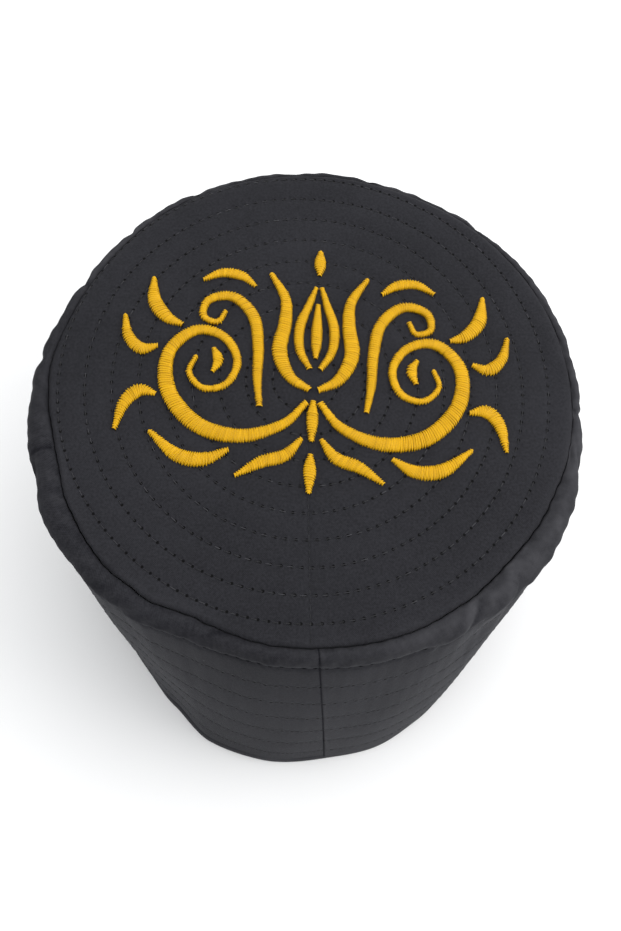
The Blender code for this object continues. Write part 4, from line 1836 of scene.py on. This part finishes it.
    def grid(self) -> tuple[ClothGrid, Array, Array, Array]:
        """The wall's rows: the outer face, the folded hem and the inner face back to the seam.

        Returns:
            The grid, the outer face's points and normals, and its rows' places in the bands.
        """
        degrees = self.angles()
        base, length, place = self.outer_rows(degrees)
        relief = self.relief(degrees, length, place) * ease(length, 0.0, 0.002)[:, None]
        outer = base + grid_normals(base) * relief[..., None]
        points = np.vstack([outer, self.hem_rows(degrees), self.inner_rows(degrees)])
        wear_and_painted_light = np.zeros(points.shape[:2])
        wear_and_painted_light[:len(outer)] = self.outer_wear_and_light(degrees, length, relief)
        wear_and_painted_light[len(outer):len(outer) + len(HEM)] = HEM_WEAR
        layers = self.layers(degrees, points, length, place)
        return ClothGrid(points, layers, np.clip(wear_and_painted_light, -1.0, 1.0)), outer, grid_normals(outer), place

    def stitch_count(self) -> float:
        """How many stitches go round the wall in a row.

        Returns:
            A whole number.
        """
        shape = self.shape
        opening = (shape.opening_half_width + shape.opening_half_length) / 2.0
        return float(shape.stitches_round(np.pi * (shape.crown_radius + opening)))

    def row_threads(self, outer: Array, normals: Array, place: Array) -> Strands:
        """The stitches of the rows, laid on the outer face between its columns.

        Args:
            outer: Points of the outer face.
            normals: Its normals.
            place: Each row's place in the quilted bands.

        Returns:
            The threads.
        """
        degrees = self.angles()
        draw = np.random.default_rng(int(Seed.ROWS))
        count = int(self.stitch_count())
        share = np.linspace(-0.5, 0.5, self.steps)
        lines, lifts = [], []
        for number in range(self.bands):
            row = int(np.abs(place - number / self.bands).argmin())
            cover = self.cover * (1.0 + draw.normal(0.0, 0.06, count))
            middle = np.arange(count) + 0.5 - self.row_shift * number
            angle = (middle[:, None] + share * cover[:, None]) / count * 360.0 % 360.0
            lines.append(across_row(outer[row], degrees, angle))
            lifts.append(across_row(normals[row], degrees, angle))
        points, above = np.concatenate(lines), np.concatenate(lifts)
        above /= np.linalg.norm(above, axis=-1, keepdims=True)
        # Most row stitches stay dark and a few are pale: painted glints.
        numbers = draw.uniform(size=len(points)) ** 3
        return sewn(points, above, share, numbers, self.thickness, self.sunk)

    def build(self, cotton: bpy.types.Material, thread: bpy.types.Material) -> None:
        """Make the wall's cloth and its stitches.

        Args:
            cotton: The cloth's finish.
            thread: The finish of the stitches.
        """
        grid, outer, normals, place = self.grid()
        cloth = show(grid.to_mesh("wall_cloth"), cotton, Slot.COTTON, "side_wall")
        threads = self.row_threads(outer, normals, place)
        rows = show(threads.to_mesh("row_stitches"), thread, Slot.COTTON)


def highlit_side(degrees: Array) -> Array:
    """How strongly the roll's crest is paled, a painted highlight: most to the right of the front
    and at the back, where the light grazes it.
    """
    return 1.2 * (lobe(degrees, -32.0, 2) + lobe(degrees, 100.0, 3))


def across_row(row: Array, degrees: Array, angle: Array) -> Array:
    """Values of a row at any angle, in a straight line between its columns.

    Args:
        row: Values at the columns, one to a row.
        degrees: Angles of the columns, from +X.
        angle: Angles to read at.

    Returns:
        The values at those angles.
    """
    ends = np.append(degrees, degrees[0] + 360.0)
    values = np.vstack([row, row[:1]])
    turned = np.where(angle < degrees[0], angle + 360.0, angle)
    return np.stack([np.interp(turned, ends, values[:, axis]) for axis in range(3)], axis=-1)


@dataclass
class Ornament:
    """The raised ornament: strokes of gold thread laid side by side over a padding.

    Attributes:
        shape: The cap's sizes.
        edge_margin: From the crown's edge to the ornament's widest point.
        half_length: Half of the ornament's length.
        shift_right: The ornament's middle, from the crown's.
        shift_back: The same towards the back.
        stroke_width: Width of the widest stroke.
        stroke_height: Height of the widest stroke.
        thread_pitch: From one thread to the next along a stroke.
        thread_radius: Radius of a thread.
        slant: How far a thread leans, as a share of its stroke's width.
        raggedness: How much every other thread is longer or shorter than the stroke is wide.
        low: Height of the narrowest stroke, beside the widest one's.
        arch_power: How full the arch of a thread is.
        dive: How far a thread goes down into the cloth at both ends.
        width_noise: How much the threads differ in width.
        share_noise: How much they differ in height and radius, as a share.
        lean_noise: How much they differ in slant.
        jog: How far a stroke's threads lie off its padding.
        core_width: Width of the padding, as a share of the stroke's.
        core_height: Its height, as a share of the stroke's.
        core_depth: How far the padding's edges go down into the cloth.
    """

    shape: CapShape
    edge_margin: float = 0.0220
    half_length: float = 0.0465
    shift_right: float = 0.0
    shift_back: float = 0.0075
    stroke_width: float = 0.0054
    stroke_height: float = 0.0010
    thread_pitch: float = 0.00043
    thread_radius: float = 0.00025
    slant: float = 0.16
    raggedness: float = 0.00034
    low: float = 0.55
    arch_power: float = 0.85
    dive: float = 0.55 * MM
    width_noise: float = 0.12 * MM
    share_noise: float = 0.04
    lean_noise: float = 0.02
    jog: float = 0.02 * MM
    core_width: float = 0.90
    core_height: float = 0.80
    core_depth: float = 0.5 * MM

    def path(self, knots: tuple[Knot, ...], side: float) -> Array:
        """Points of a stroke's middle line and its widths, a thread's pitch apart.

        Args:
            knots: The stroke's points.
            side: 1 for the right side and -1 for the left.

        Returns:
            Each point's x, y and width in metres.
        """
        half_width = self.shape.crown_radius - self.edge_margin
        rows = np.array(knots) * np.array([side * half_width, self.half_length, self.stroke_width])
        spans = np.linalg.norm(np.diff(rows[:, :2], axis=0), axis=1)
        fine = spline(rows, np.maximum(np.round(spans / (0.2 * MM)), 4).astype(int))
        run = np.concatenate([[0.0], np.cumsum(np.linalg.norm(np.diff(fine[:, :2], axis=0), axis=1))])
        count = int(run[-1] / self.thread_pitch) + 1
        at = np.linspace(0.0, run[-1], count)
        return np.stack([np.interp(at, run, fine[:, axis]) for axis in range(3)], axis=-1)

    def over(self, path: Array, share: Array, lean: Array, width: Array, height: Array) -> Array:
        """Points across a stroke, as its sections, the share of each section and coordinates.

        Args:
            path: The middle line with its widths.
            share: Angles across the stroke's arch, from -90 to 90 degrees.
            lean: How far the ends lean along the stroke, in widths.
            width: Width of each section.
            height: Height of each section.

        Returns:
            The points in the crown's frame: half an oval over the cloth.
        """
        along = np.gradient(path[:, :2], axis=0)
        along /= np.linalg.norm(along, axis=1)[:, None]
        aside = np.stack([-along[:, 1], along[:, 0]], axis=1)
        out = 0.5 * np.sin(np.radians(share))[:, None]
        reach = aside[:, None] * width[:, None, None] * out
        reach = reach + along[:, None] * (lean * width)[:, None, None] * out
        flat = path[:, None, :2] + np.array([self.shift_right, self.shift_back]) + reach
        rise = height[:, None] * np.cos(np.radians(share)) ** self.arch_power
        above = self.shape.dome_height(flat) + self.shape.clearance + rise
        return np.concatenate([flat, above[..., None]], axis=-1)

    def stroke(self, name: str, knots: tuple[Knot, ...], side: float, seed: int) -> bpy.types.Mesh:
        """One stroke: its threads, each over the padding and down into the cloth at both ends.

        Args:
            name: Name of the CAD node that it stands for.
            knots: The stroke's points.
            side: 1 for the right side and -1 for the left.
            seed: Seed of its unevenness.

        Returns:
            The mesh of its threads and padding.
        """
        draw = np.random.default_rng(seed)
        path = self.path(knots, side)
        full = np.clip(path[:, 2] / self.stroke_width, 0.0, 1.0)
        height = self.stroke_height * (self.low + (1.0 - self.low) * full)
        share = np.linspace(-90.0, 90.0, 10)
        zigzag = self.raggedness * (-1.0) ** np.arange(len(path))
        width = path[:, 2] + zigzag + draw.normal(0.0, self.width_noise, len(path))
        uneven = draw.normal(0.0, self.share_noise, len(path))
        tall = height * (1.04 + 0.25 * zigzag / MM + uneven) - 0.5 * self.thread_radius
        lean = self.slant + draw.normal(0.0, self.lean_noise, len(path))
        jogged = path + np.append(draw.normal(0.0, self.jog, 2), 0.0)
        lines = self.over(jogged, share, lean, np.maximum(width, 0.5 * MM), tall)
        dive = (np.abs(share) / 90.0) ** 6
        lines[..., 2] -= self.dive * dive
        normals = np.broadcast_to(np.array([0.0, 0.0, 1.0]), lines.shape)
        uneven = draw.normal(0.0, self.share_noise, (len(path), 1))
        radii = self.thread_radius * (1.0 - 0.35 * dive) * (1.0 + uneven)
        # Every other thread is paler: a painted highlight on alternate threads, over random shade.
        numbers = 0.5 * (draw.uniform(size=len(path)) + np.arange(len(path)) % 2)
        shape = self.shape
        threads = Strands.along(shape.from_crown(lines), shape.turned(normals), radii, numbers)
        ribs = np.unique(np.append(np.arange(0, len(path), 3), len(path) - 1))
        arch = np.linspace(80.0, -80.0, 7)
        core = self.over(path, arch, np.zeros(len(path)), self.core_width * path[:, 2],
                         self.core_height * height)[ribs]
        core[:, [0, -1], 2] -= self.core_depth
        return threads.to_mesh(name + "_satin", shape.from_crown(core))

    def build(self, thread: bpy.types.Material) -> None:
        """Make every stroke.

        Args:
            thread: The finish of the strokes.
        """
        strokes = [(name, knots, 1.0) for name, knots in CENTRE_STROKES.items()]
        for name, knots in PAIRED_STROKES.items():
            strokes += [(name + "_right", knots, 1.0), (name + "_left", knots, -1.0)]
        for number, (name, knots, side) in enumerate(strokes):
            show(self.stroke(name, knots, side, int(Seed.STROKES) + number), thread, Slot.GOLD_THREAD, name)


@dataclass
class Studio:
    """Pale floor, soft lights and the camera.

    Attributes:
        eye: Place of the camera.
        pitch: Degrees that the camera looks down.
        roll: Degrees that the camera is turned about its line of sight.
        focal: Focal length in pixels of the photograph.
        tall: Height of the photograph in pixels.
        sensor: Width of the sensor in millimetres, along the longer side of the picture.
        nearest: Nearest distance that the camera sees.
        target: Height of the point over the origin that the lights face.
        floor_half: Half of the floor's width.
        room_colour: Colour of the light from all round.
        room_light: Its strength.
    """

    eye: tuple = (0.00160, -0.18506, 0.43637)
    pitch: float = 63.56
    roll: float = 2.8
    focal: float = 1100.0
    tall: float = 931.0
    sensor: float = 36.0
    nearest: float = 0.01
    target: float = 0.06
    floor_half: float = 3.0
    room_colour: tuple = (0.98, 0.99, 1.0, 1.0)
    room_light: float = 1.06

    def camera(self) -> None:
        """The camera: it looks along +Y and down, and is rolled a little."""
        data = bpy.data.cameras.new("camera")
        data.sensor_width = self.sensor
        data.lens = self.focal / self.tall * self.sensor
        data.clip_start = self.nearest
        pitch, roll = np.radians(self.pitch), np.radians(self.roll)
        ahead = np.array([0.0, np.cos(pitch), -np.sin(pitch)])
        above = np.array([0.0, np.sin(pitch), np.cos(pitch)])
        right = np.array([1.0, 0.0, 0.0])
        turned_right = right * np.cos(roll) + above * np.sin(roll)
        turned_above = above * np.cos(roll) - right * np.sin(roll)
        matrix = np.eye(4)
        matrix[:3, :3] = np.stack([turned_right, turned_above, -ahead], axis=1)
        matrix[:3, 3] = self.eye
        eye = put("camera", data)
        eye.matrix_world = Matrix(matrix.tolist())
        bpy.context.scene.camera = eye

    def light(self, lamp: Lamp) -> None:
        """One of the soft lights.

        Args:
            lamp: Its sizes and place.
        """
        data = bpy.data.lights.new(lamp.name, "AREA")
        data.energy = lamp.watts
        data.size = lamp.size
        data.color = lamp.colour
        back = np.array(lamp.place) - np.array([0.0, 0.0, self.target])
        put(lamp.name, data).matrix_world = Matrix.Translation(lamp.place) @ aim(back)

    def floor(self, finish: bpy.types.Material) -> None:
        """The floor, level with the rim.

        Args:
            finish: The floor's material.
        """
        half = self.floor_half
        corners = np.array([(-half, -half, 0.0), (half, -half, 0.0), (half, half, 0.0), (-half, half, 0.0)])
        mesh = mesh_of("floor", corners, [np.array([[0, 1, 2, 3]])])
        mesh.materials.append(finish)
        piece = put("floor", mesh)

    def build(self, finish: bpy.types.Material) -> None:
        """Make the floor, the lights and the camera.

        Args:
            finish: The floor's material.
        """
        self.floor(finish)
        for lamp in LAMPS:
            self.light(lamp)
        world = bpy.data.worlds.new("room")
        world.use_nodes = True
        room = world.node_tree.nodes["Background"]
        room.inputs["Color"].default_value = self.room_colour
        room.inputs["Strength"].default_value = self.room_light
        bpy.context.scene.world = world
        bpy.context.scene.view_settings.view_transform = "Standard"
        self.camera()


def aim(back: Array) -> Matrix:
    """Turn of a lamp whose back looks along this direction, so that it shines the other way.

    Args:
        back: The direction from the lit point to the lamp.

    Returns:
        The turn as a matrix.
    """
    z_axis = back / np.linalg.norm(back)
    x_axis = np.cross([0.0, 1.0, 0.0], z_axis)
    x_axis /= np.linalg.norm(x_axis)
    turned = np.stack([x_axis, np.cross(z_axis, x_axis), z_axis], axis=1)
    return Matrix(turned.tolist()).to_4x4()


def main() -> None:
    """Build the cap's parts in order."""
    logging.basicConfig(level=logging.INFO, format="%(name)s: %(message)s")
    effects = Effects()
    shape = CapShape()
    cotton = CottonFinish().build(effects)
    black = BLACK_THREAD.build(effects)
    gold = GOLD_SATIN.build(effects)
    SideWall(shape).build(cotton, black)
    CrownTop(shape).build(cotton, black)
    Ornament(shape).build(gold)
    Studio().build(FloorFinish().build(effects))


if __name__ == "__main__":
    main()
